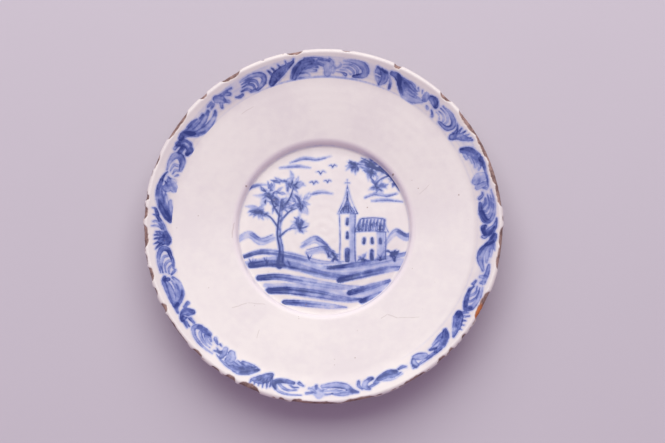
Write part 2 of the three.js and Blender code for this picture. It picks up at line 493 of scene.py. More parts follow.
def chip_depth(outline, size, along, turn):
    """How far points lie inside the nearest chip, less than 0 outside, and its bite."""
    depth = np.full(len(along), -UNCUT)
    bite = np.zeros(len(along))
    past = along - outline.lip
    near = np.abs(past) < NEAR_LIP
    places = turned(outline, along[near], turn[near])
    ragged = layered(places, RAGGED)
    near_top = smooth_step(np.cos(turn[near]), 0.2, 0.85)
    lumps = noise(places, NICK_SIZE, 13)
    nicks = NICK_STEEP * (lumps - NICK_RARE[0] - NICK_RARE[1] * near_top)
    degrees = np.degrees(turn[near])
    past = past[near]
    lip_r = size.rim_radius - size.glaze_thickness
    best = np.minimum(nicks, NICK_REACH - np.abs(past - NICK_PLACE)) + ragged / 2
    bites = bite[near] + NICK
    for number, (start, end, reach) in enumerate(CHIPS):
        half = (end - start) / 2
        off = (degrees - (start + end) / 2 + 180) % 360 - 180
        share = np.clip(np.abs(off) / half, 0, 2)
        shape = np.sqrt(np.clip(1 - share**3, 0, 1))
        over_face = outline.lip - outline.face_at(lip_r - reach)
        down_back = reach * (DOWN_BACK[0] + DOWN_BACK[1] * (number * GOLDEN % 1))
        over_back = outline.back_at(lip_r - down_back) - outline.lip
        inside = np.minimum(over_face * shape + past, over_back * shape - past)
        to_end = (half - np.abs(off)) * math.radians(1) * lip_r
        inside = np.minimum(inside, to_end + PAST_END) + ragged
        better = inside > best
        best = np.where(better, inside, best)
        bites = np.where(better, min(BITE[0] + BITE[1] * reach, BITE[2]), bites)
    depth[near], bite[near] = best, bites
    return depth, bite


class Surface:
    """The clay's surface at places on the outline and turns round it.

    For each point there are its place, its direction out of the clay, its place seen from
    above, how far inside the edge of the glaze it lies and how high the glaze is over it.
    """

    def __init__(self, outline, size, rings):
        along, turn = rings.along, rings.turn
        points = turned(outline, along, turn)
        out_r, out_z = outline.normals(along).T
        self.out = np.column_stack([out_r * np.sin(turn), out_r * np.cos(turn), out_z])
        above_foot = smooth_step(points[:, 2], *UNTRUE)
        sway = size.unevenness * (1 + noise(points, 47, 1))
        radius = np.sqrt(points[:, 0] ** 2 + points[:, 1] ** 2)
        ridges = np.sin(radius * TURN / RIDGE_PITCH + turn) * (0.5 + 0.5 * noise(points, 31, 2))
        dip = (sway + RIDGES * size.unevenness * (1 + ridges)) * above_foot
        depth, bite = chip_depth(outline, size, along, turn)
        eaten = smooth_step(depth, *BITE_SLOPE) * bite
        eaten += np.clip(depth * 2, 0, 1) * (CRUMBS + layered(points, CRUMBLED))
        self.points = points - self.out * (dip + np.clip(eaten, 0, None))[:, None]
        self.flat = points[:, :2]
        sides = size.coat_edge + layered(points, GLAZE_END)
        by_foot = (along > outline.foot_out - FOOT_SIDE) & (along < outline.foot_in + FOOT_SIDE)
        over_foot = np.where(by_foot, points[:, 2] - sides, UNCUT)
        self.covered = np.minimum(-depth, over_foot)
        varied = 1 - GLAZE_VARIES + GLAZE_VARIES * noise(points, 5, 41)
        self.glaze = np.clip(self.covered * FRACTURE, -BURIED, size.glaze_thickness * varied)


def glazed(size, outline, outer, inner):
    """Points and faces of a coat, and the clay's surface under its outer side.

    Its inner side lies just under the clay. Where the glaze ends, both sides share points.
    """
    above, below = Surface(outline, size, outer), Surface(outline, size, inner)
    outer_points = above.points + above.out * above.glaze[:, None]
    inner_points = below.points - below.out * BURIED
    shared = np.arange(inner.total) + outer.total
    index = np.arange(outer.total)
    bare = above.glaze <= BARE
    inner_ring = {
        (round(place, 6), count): ring
        for ring, (place, count) in enumerate(zip(inner.places, inner.counts))
    }
    for ring, (place, count) in enumerate(zip(outer.places, outer.counts)):
        twin = inner_ring.get((round(place, 6), count))
        if twin is not None:
            here = np.arange(outer.first[ring], outer.first[ring + 1])
            there = shared[inner.first[twin] : inner.first[twin + 1]]
            index[here] = np.where(bare[here], there, here)
    top = kept(outer.faces(), bare)
    under = kept(inner.faces(), below.glaze <= BARE)
    top = np.where(top >= 0, index[top], -1)
    under = np.where(under >= 0, shared[under], -1)
    triangle = under[:, 3] < 0
    turned_over = under[:, ::-1].copy()
    turned_over[triangle] = under[triangle][:, [2, 1, 0, 3]]
    points = np.vstack([outer_points, inner_points])
    return points, np.vstack([top, turned_over]), above


def kept(faces, bare):
    """The faces that have at least one corner under glaze."""
    corners = np.where(faces >= 0, bare[faces], True)
    return faces[~corners.all(axis=1)]


def add_object(name, data):
    """A new object in the scene."""
    made = bpy.data.objects.new(name, data)
    bpy.context.scene.collection.objects.link(made)
    return made


def mesh_object(name, points, faces, material, attributes):
    """A smooth object, in metres, from points in millimetres and rows of corners.

    Attributes may be given for the first points alone, and are 0 at the others.
    """
    used = np.unique(faces[faces >= 0])
    place = np.full(len(points), -1)
    place[used] = np.arange(len(used))
    faces = np.where(faces >= 0, place[faces], -1)
    held = faces >= 0
    sides = held.sum(axis=1)
    mesh = bpy.data.meshes.new(f"{name}_mesh")
    mesh.vertices.add(len(used))
    mesh.vertices.foreach_set("co", (points[used] / 1000).astype(np.float32).ravel())
    mesh.loops.add(int(sides.sum()))
    mesh.loops.foreach_set("vertex_index", faces[held].astype(np.int32))
    mesh.polygons.add(len(faces))
    starts = np.append(0, np.cumsum(sides)[:-1])
    mesh.polygons.foreach_set("loop_start", starts.astype(np.int32))
    for key, values in attributes.items():
        whole = np.zeros((len(points), *values.shape[1:]), np.float32)
        whole[: len(values)] = values
        kind, field = ("FLOAT_VECTOR", "vector") if values.ndim == 2 else ("FLOAT", "value")
        attribute = mesh.attributes.new(key, kind, "POINT")
        attribute.data.foreach_set(field, whole[used].ravel())
    mesh.update(calc_edges=True)
    if mesh.validate():
        raise RuntimeError(f"{name} had faces that are not valid")
    mesh.shade_smooth()
    mesh.materials.append(material)
    return add_object(name, mesh)


# Painting

WASH, BODY, LINE = 0, 1, 2  # layers of paint, from thin cobalt to pooled cobalt
OUTSIDE = -3.0  # how far outside any stroke a point counts as, in mm
OVERLAP = 0.25  # how much of a stroke's strength adds up where it crosses another
HAIR = 1.0  # width of the streaks that a brush's hairs leave, in mm
HAIR_CHANGES = 1.7  # how often a streak changes from one end of a stroke to the other
STREAKED = 0.4  # how much the streaks change a stroke's strength
SPAN_STEPS = 7  # steps of a stroke's centre line from one given point to the next


def smooth_line(points):
    """A smooth line through points."""
    p = np.asarray(points, float)
    p = np.vstack([2 * p[0] - p[1], p, 2 * p[-1] - p[-2]])
    t = np.linspace(0, 1, SPAN_STEPS, endpoint=False)[:, None]
    spans = []
    for a, b, c, d in zip(p, p[1:], p[2:], p[3:]):
        bend = (2 * a - 5 * b + 4 * c - d) * t**2 + (3 * b - a - 3 * c + d) * t**3
        spans.append((2 * b + (c - a) * t + bend) / 2)
    return np.vstack([*spans, p[-2:-1]])


class Painting:
    """Layers of paint: how far each point lies inside a stroke, and how strong it is.

    scale, brush and strength enlarge, broaden and darken whatever is painted next.
    """

    def __init__(self, flat):
        self.flat = flat
        self.edge = np.full((len(flat), 3), OUTSIDE)
        self.tone = np.zeros((len(flat), 3))
        self.scale = self.brush = self.strength = 1.0
        self.drawn = 0

    def reach(self, line, widths):
        """The points near a stroke, how far inside and along it they lie, and its streaks."""
        path = smooth_line(line) * self.scale
        self.drawn += 1
        share = np.linspace(0, 1, len(path))
        half = np.interp(share, np.linspace(0, 1, len(widths)), widths) / 2 * self.brush
        margin = half.max() - OUTSIDE / 2
        low, high = path.min(axis=0) - margin, path.max(axis=0) + margin
        near = np.flatnonzero(np.all((self.flat > low) & (self.flat < high), axis=1))
        inside = np.full(len(near), OUTSIDE)
        along, aside = np.zeros(len(near)), np.zeros(len(near))
        spots = self.flat[near]
        for i, (start, step) in enumerate(zip(path, np.diff(path, axis=0))):
            off = spots - start
            t = np.clip(off @ step / max(step @ step, 1e-12), 0, 1)
            gap = np.hypot(*(off - t[:, None] * step).T)
            depth = half[i] + (half[i + 1] - half[i]) * t - gap
            better = depth > inside
            inside = np.where(better, depth, inside)
            along = np.where(better, (i + t) / (len(path) - 1), along)
            side = (off[:, 0] * step[1] - off[:, 1] * step[0]) / max(math.hypot(*step), 1e-9)
            aside = np.where(better, side, aside)
        own = np.full(len(near), self.drawn * 1.37)  # sets each stroke's streaks apart
        hairs = np.column_stack([aside, along * HAIR_CHANGES, own])
        return near, inside, along, noise(hairs, HAIR, 51)

    def stroke(self, layer, line, widths, tones):
        """Lays one stroke. Widths and strengths are spread evenly along it."""
        if len(line) < 2 or not len(self.flat):
            return
        near, inside, along, streak = self.reach(line, widths)
        tone = np.interp(along, np.linspace(0, 1, len(tones)), tones) * self.strength
        tone *= 1 + STREAKED * streak
        old_edge, old_tone = self.edge[near, layer], self.tone[near, layer]
        crossed = np.maximum(old_tone, tone) + OVERLAP * np.minimum(old_tone, tone)
        ahead = np.where(inside > old_edge, tone, old_tone)
        self.tone[near, layer] = np.where((inside > 0) & (old_edge > 0), crossed, ahead)
        self.edge[near, layer] = np.maximum(old_edge, inside)

    def spare(self, line, widths):
        """Leaves a line of white through what is painted so far."""
        near, inside, _, _ = self.reach(line, widths)
        self.edge[near] = np.minimum(self.edge[near], -inside[:, None])


# The picture in the well

PICTURE_SCALE = 1.15  # how much larger the picture is than its strokes are listed
PICTURE_BRUSH = 1.22  # how much broader its strokes are
PICTURE_STRENGTH = 1.15  # how much stronger its paint is
PICTURE_EDGE = 57.8  # radius at which the picture ends, in mm
PICTURE_RING = 57.7  # radius of the pale ring round it
RING_PART = 30  # degrees of that ring painted in one stroke


def dabs(painting, rng, centre, spread, count, size, tone, layer=BODY):
    """A patch of short leaf strokes round a centre."""
    for _ in range(count):
        way = rng.uniform(0, TURN)
        out = math.sqrt(rng.uniform(0, 1))
        x = centre[0] + spread[0] * out * math.cos(way)
        y = centre[1] + spread[1] * out * math.sin(way)
        lean = way + rng.uniform(-0.5, 0.5)
        half = size * rng.uniform(0.5, 0.9)
        step = np.array([math.cos(lean), math.sin(lean)]) * half
        bend = np.array([-step[1], step[0]]) * rng.uniform(-0.35, 0.35)
        middle = np.array([x, y])
        strength = tone * rng.uniform(0.75, 1.15)
        width = size * rng.uniform(0.45, 0.65)
        line = [middle - step, middle + bend, middle + step]
        widths = [width * 0.5, width, width * 0.3]
        painting.stroke(layer, line, widths, [strength, strength * 0.8])


def paint_ground(painting, rng):
    """Rolling ground in broad, level brush strokes with the white showing between."""
    sweeps = (
        (0.5, (1.5, 3.0, 3.6, 2.6, 0.8),
         [(-50, -17), (-36, -13), (-20, -15), (-4, -19), (10, -20)]),
        (0.52, (0.8, 3.0, 3.6, 2.0), [(2, -23), (18, -21), (34, -18), (50, -14)]),
        (0.62, (3.0, 3.8, 4.2, 3.0, 1.0),
         [(-43, -21), (-30, -20), (-14, -23), (4, -27), (16, -28)]),
        (0.6, (2.6, 3.6, 3.8, 2.2), [(9, -30), (22, -27), (36, -24), (44, -23)]),
        (0.5, (3.0, 3.6, 4.2, 3.2, 1.0),
         [(-38, -28.5), (-26, -28), (-8, -31), (10, -34), (23, -34)]),
        (0.66, (2.8, 3.6, 1.8), [(15, -37.5), (27, -34), (38, -30.5)]),
        (0.66, (3.0, 4.0, 4.4, 3.0, 0.8),
         [(-32, -36), (-20, -36), (-4, -38), (12, -41), (22, -41)]),
        (0.5, (2.8, 3.6, 3.4, 1.0), [(-23, -43), (-12, -43.5), (2, -45), (13, -46)]),
        (0.54, (2.4, 2.8, 1.2), [(22, -42.5), (29, -39.5), (34, -37)]),
    )
    for tone, widths, line in sweeps:
        painting.stroke(BODY, line, widths, [tone * share for share in (1.9, 1, 0.6, 0.6, 0.95)])
        for _ in range(4):
            shift = np.array([rng.uniform(-2, 2), rng.uniform(-0.9, 0.9)])
            part = np.array(line[:-1], float) + shift
            painting.stroke(LINE, part, [0.4, 0.9, 0.3], [tone * 1.1, tone * 0.4])
    veils = (
        (0.26, (3, 8, 8, 8, 4), [(-46, -20), (-20, -19), (0, -25), (20, -25), (48, -19)]),
        (0.24, (3, 8, 8, 4), [(-34, -33), (-10, -36), (18, -39), (36, -33)]),
    )
    for tone, widths, line in veils:
        painting.stroke(WASH, line, widths, [tone])
    for x in (-42, -33.5, -9, 3, 33, 41):
        level = -15.5 - 0.1 * abs(x - 10)
        for lean in (-0.9, 0, 0.9):
            foot = (x + rng.uniform(-0.4, 0.4), level + rng.uniform(-0.6, 0.6))
            tip = (foot[0] + lean * 2, foot[1] + rng.uniform(2.6, 3.8))
            painting.stroke(LINE, [foot, tip], [1.0, 0.35], [0.8, 0.5])


def paint_hills(painting):
    """Distant hills along the horizon."""
    ridges = (
        [(-53, -6), (-44, -1), (-37, -5), (-30, -3)],
        [(-13, -8), (-5, -4), (2, -9)],
        [(36, -6), (42, 0), (48, -3), (54, -1)],
        [(-10, -12), (0, -10), (6, -13)],
    )
    for ridge in ridges:
        painting.stroke(LINE, ridge, [0.4, 0.75, 0.5], [0.45, 0.6])
        below = np.array(ridge, float) - [0, 2.2]
        painting.stroke(WASH, below, [2, 4, 3], [0.32, 0.26])
        shaded = np.array(ridge[1:], float) + [1.2, -1.6]
        painting.stroke(BODY, shaded, [1.8, 1.0, 0.5], [0.4, 0.3])


def paint_tree(painting, rng):
    """A leafy tree on the left."""
    trunk = [(-26, -21), (-25, -12), (-26.5, -3), (-25.5, 8), (-24, 18)]
    painting.stroke(BODY, trunk, [4.2, 2.8, 2.4, 2.0, 1.0], [0.72, 0.6, 0.6])
    painting.stroke(LINE, np.array(trunk) - [0.9, 0], [1.4, 0.9, 0.9, 0.7, 0.4], [0.95, 0.85])
    boughs = (
        [(-26, 0), (-31, 7), (-36, 10)],
        [(-25.5, 5), (-20, 11), (-15, 13)],
        [(-26, 8), (-30, 15), (-32, 21)],
        [(-24.5, 12), (-20, 19), (-18, 25)],
        [(-26, -4), (-21, 0), (-17, 1)],
    )
    for bough in boughs:
        painting.stroke(LINE, bough, [1.3, 0.9, 0.5], [0.85, 0.7])
    crown = (
        ((-37, 11), (6, 4.5)),
        ((-32, 21), (7, 5.5)),
        ((-21, 28), (7.5, 5)),
        ((-14, 16), (6, 5)),
        ((-25, 15), (6, 4)),
        ((-15, 2.5), (4, 2.6)),
    )
    for centre, spread in crown:
        dabs(painting, rng, centre, spread, 5, 5.5, 0.3, WASH)
        dabs(painting, rng, centre, (spread[0] * 1.1, spread[1] * 1.1), 10, 3.4, 0.5)
        shade = (centre[0] + 0.8, centre[1] - spread[1] * 0.35)
        dabs(painting, rng, shade, (spread[0] * 0.9, spread[1] * 0.6), 5, 2.3, 0.85, LINE)
    for x in (-30, -23, -20):
        painting.stroke(LINE, [(x, -21), (x - 1.5, -18)], [1.1, 0.3], [0.8, 0.5])


def paint_house(painting, rng):
    """A tower with a long low house beside it."""
    outlines = (
        [(9, -19), (9.4, -6), (9, 9)],
        [(18.4, -19), (18, -5), (18.4, 9)],
        [(8.2, 9.2), (13.6, 9.8), (19.4, 9.2)],
        [(8, 9.4), (11.4, 17), (13.6, 25)],
        [(19.6, 9.4), (16.2, 17), (13.9, 25)],
        [(13.7, 24.5), (13.7, 29.5)],
        [(12.5, 27.7), (15, 27.7)],
        [(18.4, -1.5), (27, -1), (36.5, -1.7)],
        [(36, -2), (36.2, -9), (35.8, -17)],
        [(18.4, -1), (20.5, 5), (22.4, 6.4)],
        [(22.4, 6.4), (29, 6.8), (34.6, 6.2)],
        [(34.6, 6.2), (36, 2), (37.6, -1.7)],
        [(9, -19), (20, -19.4), (36, -17.5)],
    )
    for line in outlines:
        painting.stroke(LINE, line, [0.7, 0.55, 0.7], [0.62, 0.5, 0.62])
    for i in range(5):
        x = 10.2 + i * 1.75
        top = 22.5 - abs(x - 13.7) * 2.4
        slates = [(x, 10.4), ((x + 13.7) / 2, (top + 10) / 2 + 1), (13.7, top)]
        painting.stroke(BODY, slates, [1.8, 1.5, 0.7], [0.75, 0.6])
    for i in range(8):
        x = 20.4 + i * 2.05
        slates = [(x, -0.2), (x + 0.4, 3), (x + 0.9, 5.6)]
        painting.stroke(BODY, slates, [1.7, 1.6, 1.0], [0.66 if i % 3 else 0.82, 0.52])
    painting.stroke(WASH, [(16.4, -18), (16.6, -5), (16.4, 8)], [3.6, 3.4, 3.4], [0.32])
    painting.stroke(WASH, [(33, -16), (33.2, -10), (33, -3)], [5, 4.6, 4.6], [0.28])
    openings = (
        ([(13.6, 3.2), (13.6, 6.2)], 1.7),
        ([(13.6, -5), (13.6, -2)], 1.6),
        ([(13.6, -18), (13.5, -14), (13.6, -12.4)], 2.8),
        ([(23.4, -8), (23.4, -5.6)], 1.7),
        ([(28.2, -8), (28.2, -5.6)], 1.7),
        ([(33, -8.2), (33, -5.8)], 1.6),
        ([(28, -17.4), (28, -13)], 2.2),
    )
    for line, width in openings:
        painting.stroke(LINE, line, [width, width], [1.1, 0.95])
    for centre in ((6, -16.5), (39.5, -14.5), (22.5, -17)):
        dabs(painting, rng, centre, (2.6, 2.2), 8, 2.4, 0.7)
        dabs(painting, rng, (centre[0], centre[1] - 0.8), (2.0, 1.2), 4, 2.0, 0.95, LINE)


def paint_sky(painting):
    """Birds, and a few level strokes of cloud."""
    for x, y, size in ((-2, 33, 2.6), (5, 37, 2.1), (2, 28, 1.9), (-6, 27, 2.2)):
        left = [(x - size, y + size * 0.5), (x - size * 0.4, y + size * 0.6), (x, y)]
        right = [(x, y), (x + size * 0.5, y + size * 0.7), (x + size * 1.1, y + size * 0.4)]
        painting.stroke(LINE, left, [0.4, 0.8, 0.6], [0.8])
        painting.stroke(LINE, right, [0.6, 0.8, 0.35], [0.8])
    clouds = (
        [(24, 19), (30, 21), (37, 20), (43, 21.5)],
        [(28, 17), (36, 17.5), (46, 16.5)],
        [(-8, 21), (-2, 22.5), (5, 21.5)],
        [(-45, 24), (-40, 26.5), (-33, 27)],
        [(-20, 40), (-12, 42.5), (-4, 42), (4, 44)],
        [(-26, 37), (-16, 38), (-8, 37)],
    )
    for cloud in clouds:
        painting.stroke(WASH, cloud, [0.7, 2.2, 1.8, 0.6], [0.42, 0.3])
        painting.stroke(BODY, np.array(cloud) - [0, 0.5], [0.4, 1.0, 0.4], [0.4, 0.3])


def paint_bough(painting, rng):
    """A bough with leaves that hangs into the picture at the top right."""
    limbs = (
        ([(45, 24), (40, 31), (33, 35.5), (25, 38), (18, 39)], (2.6, 2.4, 1.9, 1.4, 0.6)),
        ([(38, 32), (33, 29.5), (30, 26)], (1.3, 1.0, 0.5)),
        ([(30, 36), (27, 40), (22, 42.5)], (1.3, 1.0, 0.5)),
        ([(41, 29), (42, 34), (40, 38)], (1.3, 1.0, 0.5)),
    )
    for line, widths in limbs:
        painting.stroke(BODY, line, widths, [0.95, 0.8, 0.7])
    leafage = (
        ((19, 38.5), (4.6, 3)),
        ((27, 40), (5.5, 3.2)),
        ((31, 26), (4, 3.4)),
        ((34, 37), (5, 3.6)),
        ((42, 31), (3.4, 5)),
        ((27, 34.5), (4, 2.6)),
    )
    for centre, spread in leafage:
        dabs(painting, rng, centre, spread, 4, 4.6, 0.34, WASH)
        dabs(painting, rng, centre, spread, 8, 3.0, 0.5)
        below = (centre[0] + 0.6, centre[1] - spread[1] * 0.4)
        dabs(painting, rng, below, (spread[0] * 0.8, spread[1] * 0.6), 4, 2.2, 0.9, LINE)


def paint_well(painting):
    """A wide landscape with a tree, a tower and a house, and the pale ring round it."""
    rng = np.random.default_rng(5)
    painting.scale = PICTURE_SCALE
    painting.brush = PICTURE_BRUSH
    painting.strength = PICTURE_STRENGTH
    paint_hills(painting)
    paint_sky(painting)
    paint_ground(painting, rng)
    paint_tree(painting, rng)
    paint_house(painting, rng)
    paint_bough(painting, rng)
    painting.edge[np.hypot(*painting.flat.T) > PICTURE_EDGE] = OUTSIDE
    painting.scale = painting.brush = painting.strength = 1.0
    for first in range(0, 360, RING_PART):
        turns = np.radians(np.linspace(first, first + RING_PART, 6))
        arc = np.column_stack([np.sin(turns), np.cos(turns)]) * PICTURE_RING
        painting.stroke(WASH, arc, [0.8], [0.08 + 0.08 * math.cos(turns[2])])


# The border: strokes as (layer, widths in mm, strengths, points), each point given in
# degrees clockwise from the top and in mm in from the outermost point of the lip.

BORDER_OFF = (0.5, -0.2)  # how far the border is painted off the rim's centre, right and up
BORDER_BRUSH = 1.28  # how much broader its strokes are than they are listed
BORDER_IN = 0.9  # how much further in from the lip it lies than it is listed, in mm
BORDER_SHARE = 0.95  # how wide it is, against its width as it is listed
STRENGTH = 0.91  # how strong its paint is against the strengths that are listed
FAINTER = 0.05  # how much fainter it is near the top than at the sides
FAINTEST = 10  # degrees at which it is faintest

SHELLS = (
    # From 6 degrees
    (BODY, (1.0, 2.2, 4.0, 4.2, 3.0, 1.6), (0.45, 0.6, 0.76, 0.88),
     ((6.8, 6.5), (10.5, 6.3), (13.6, 7.8), (15, 10.8), (14.2, 13.8), (11, 15.6))),
    (BODY, (0.8, 1.6, 1.5), (0.5, 0.6), ((7, 8.7), (10, 8.8), (12, 11.3), (12.2, 13.8))),
    (BODY, (0.7, 1.5, 1.3), (0.55,), ((6.8, 10.8), (9, 10.8), (10.6, 12.6), (10.9, 14.6))),
    (BODY, (0.6, 1.2), (0.5,), ((5.8, 12.6), (8, 12.6), (9.8, 14.6))),
    # From 44 degrees
    (BODY, (1, 2.4, 3, 2.6, 1.4), (0.5, 0.7, 0.85, 0.8),
     ((45, 6.3), (48.5, 6.3), (51.3, 8.2), (52.2, 11.2), (51, 14.6), (47.5, 15.4))),
    (BODY, (0.7, 1.5, 1.3), (0.5,), ((44.8, 8.3), (47.5, 8.4), (49.6, 10.6), (49.7, 13.8))),
    (BODY, (0.7, 1.4, 1.2), (0.5,), ((45, 10.4), (46.8, 10.4), (48.3, 12.3), (48.5, 14.2))),
    (BODY, (0.6, 1), (0.45,), ((44.5, 12), (46, 12.4), (47, 14))),
    (BODY, (0.8, 1.4, 1), (0.55,), ((52.6, 7), (54.2, 9.5), (54, 13.5))),
    # From 78 degrees
    (BODY, (0.8, 1.4, 2.2, 3.2, 3.2), (0.5, 0.6, 0.85),
     ((78.3, 5.6), (82.5, 4.9), (86.5, 6.2), (88.6, 9), (88.3, 12.4), (85.6, 14.6))),
    (LINE, (1.8, 2.6, 1.8), (0.9,), ((82, 14.6), (84.5, 14.8), (88, 12.2), (89, 9.5))),
    (BODY, (0.7, 1.6, 2, 1.6), (0.55, 0.65), ((80, 6.9), (84, 6.8), (86.8, 9.4), (86.6, 12.2))),
    (BODY, (0.7, 1.6, 1.8), (0.5, 0.6), ((79.6, 8.8), (82.8, 8.4), (85, 10.6), (85.2, 13))),
    (BODY, (1, 1.8, 1.6), (0.5, 0.6), ((80.6, 10.5), (82.3, 10.8), (83.6, 13.4))),
    (WASH, (6, 6), (0.3,), ((82.5, 9), (84, 12))),
    # From 111 degrees
    (BODY, (1, 2, 3, 3, 2), (0.5, 0.65, 0.8),
     ((112, 6), (116, 5.4), (119.6, 7), (120.6, 10), (119, 12.8))),
    (BODY, (0.7, 1.6, 1.8), (0.6,), ((112.5, 7.8), (115.6, 7.3), (118, 9.6), (118.3, 12.2))),
    (BODY, (0.7, 1.6, 1.6), (0.6,), ((112.3, 9.8), (114.3, 9.2), (116, 11.4), (116.4, 13.4))),
    (LINE, (2, 2.6, 1.6), (0.85,), ((114.8, 13.8), (117.5, 13.2), (120.4, 10.8))),
    (BODY, (1, 2), (0.7,), ((112.5, 12), (114, 13.8))),
    (LINE, (2.4, 2.2), (0.8,), ((120.2, 7.6), (121.2, 9.8), (120.4, 11.6))),
    # From 152 degrees
    (BODY, (0.8, 1.6, 1.2), (0.4, 0.5), ((152.5, 7.4), (155.6, 7), (158.4, 8.4), (160.4, 10))),
    (BODY, (0.8, 2.2, 3, 2.4), (0.55, 0.8), ((152.6, 8.8), (155.4, 9), (158, 11), (160.6, 10.6))),
    (LINE, (2.4, 3, 2.4, 1.6), (0.85,), ((154.2, 11), (156.4, 12.6), (159.6, 11.8), (162.4, 9))),
    (BODY, (0.7, 1.4), (0.5,), ((153.4, 10), (155.4, 10.6))),
    # From 187 degrees
    (BODY, (0.7, 1.4, 2, 2.6), (0.4, 0.6),
     ((187.2, 4.9), (191, 4), (194.6, 4.6), (196.4, 7.2), (197.4, 10))),
    (BODY, (0.8, 1.4, 1.8, 1.4), (0.65,), ((189.2, 8.2), (191.8, 6.9), (194, 8), (195.6, 10))),
    (BODY, (0.8, 1.4, 1.2), (0.6,), ((188.8, 10.2), (190.6, 9.7), (192.2, 11.2))),
    (LINE, (2, 2.8, 2.6, 2.4, 1.4), (0.9,),
     ((190.8, 12.8), (193.6, 13), (196.4, 11.6), (197.2, 8.6), (196.2, 6))),
    # From 220 degrees
    (BODY, (0.8, 1.6, 2, 2.6, 2.6), (0.55, 0.72, 0.85),
     ((220.6, 6.6), (224.5, 5.7), (228.4, 6.2), (230.8, 8.2), (231.6, 10.8), (230.4, 13.8))),
    (BODY, (0.8, 1.8, 2, 1.6), (0.6,),
     ((222.8, 8.5), (225.6, 8.4), (228.4, 10.2), (229.2, 12.6))),
    (BODY, (0.8, 1.8, 1.8), (0.6,), ((223, 10.6), (225.2, 10.6), (227, 12.4))),
    (LINE, (2.6, 3.4, 2.6), (0.85,), ((226.4, 15.2), (228.4, 14.4), (230.6, 13))),
    (BODY, (1.2, 2.2), (0.6,), ((224, 12.2), (226.4, 14.4))),
    # From 253 degrees
    (BODY, (0.9, 1.8, 2.4, 3, 2.6, 1.6), (0.55, 0.75, 0.85),
     ((253.8, 6.5), (257.4, 6.8), (260.4, 8.4), (262, 11.2), (261.4, 14.6), (258.4, 16))),
    (BODY, (0.7, 1.6, 1.8, 1.4), (0.6,), ((253.6, 8), (256.6, 8.4), (258.9, 10.8), (259.4, 14))),
    (BODY, (0.7, 1.6, 1.6), (0.65,), ((253.4, 10), (255.6, 10.3), (257.2, 12.6), (257.4, 15))),
    (BODY, (0.8, 1.6, 1.4), (0.6,), ((252.8, 12), (254.6, 12.6), (255.6, 15))),
    (BODY, (1.2, 1.8, 1.6), (0.7,), ((254.4, 15.6), (257.6, 16.4), (261, 14.8))),
    # From 289 degrees
    (BODY, (0.8, 2, 3.2, 4, 3.4, 1.8), (0.6, 0.72, 0.8),
     ((289.8, 7.8), (292.6, 7.4), (295.2, 8.4), (296.2, 11.6), (294.8, 15), (291.8, 16))),
    (BODY, (0.7, 1.6, 1.6), (0.55,), ((290, 9.8), (292.4, 10.6), (293, 14))),
    (BODY, (0.7, 1.6, 1.4), (0.55,), ((289.4, 12), (291, 12.8), (291.4, 15.2))),
    (BODY, (0.8, 1.4), (0.5,), ((288.8, 14), (289.8, 15.6))),
    (BODY, (0.5, 0.6, 0.5), (0.4,), ((291, 6.8), (295.5, 7), (297.6, 10))),
    # From 329 degrees
    (BODY, (1, 2, 2.8, 3.2, 2.8, 1.6), (0.55, 0.75),
     ((330, 6.4), (333.6, 6.2), (336.8, 7.4), (338.2, 10), (337.4, 13.4), (334.4, 15.8))),
    (BODY, (0.7, 1.6, 1.8, 1.4), (0.6,), ((330, 8.4), (332.8, 8.4), (335, 10.4), (335.2, 13.2))),
    (BODY, (0.7, 1.6, 1.6), (0.65,), ((329.8, 10.2), (332, 10.2), (333.6, 12.2), (333.6, 14.4))),
    (LINE, (0.8, 1.6, 1.6), (0.75,), ((328.8, 12.2), (331, 12.6), (332, 14.6))),
    (BODY, (1.4, 1.8, 1.4), (0.7,), ((331.8, 15.4), (334.6, 15.9), (338, 14))),
)

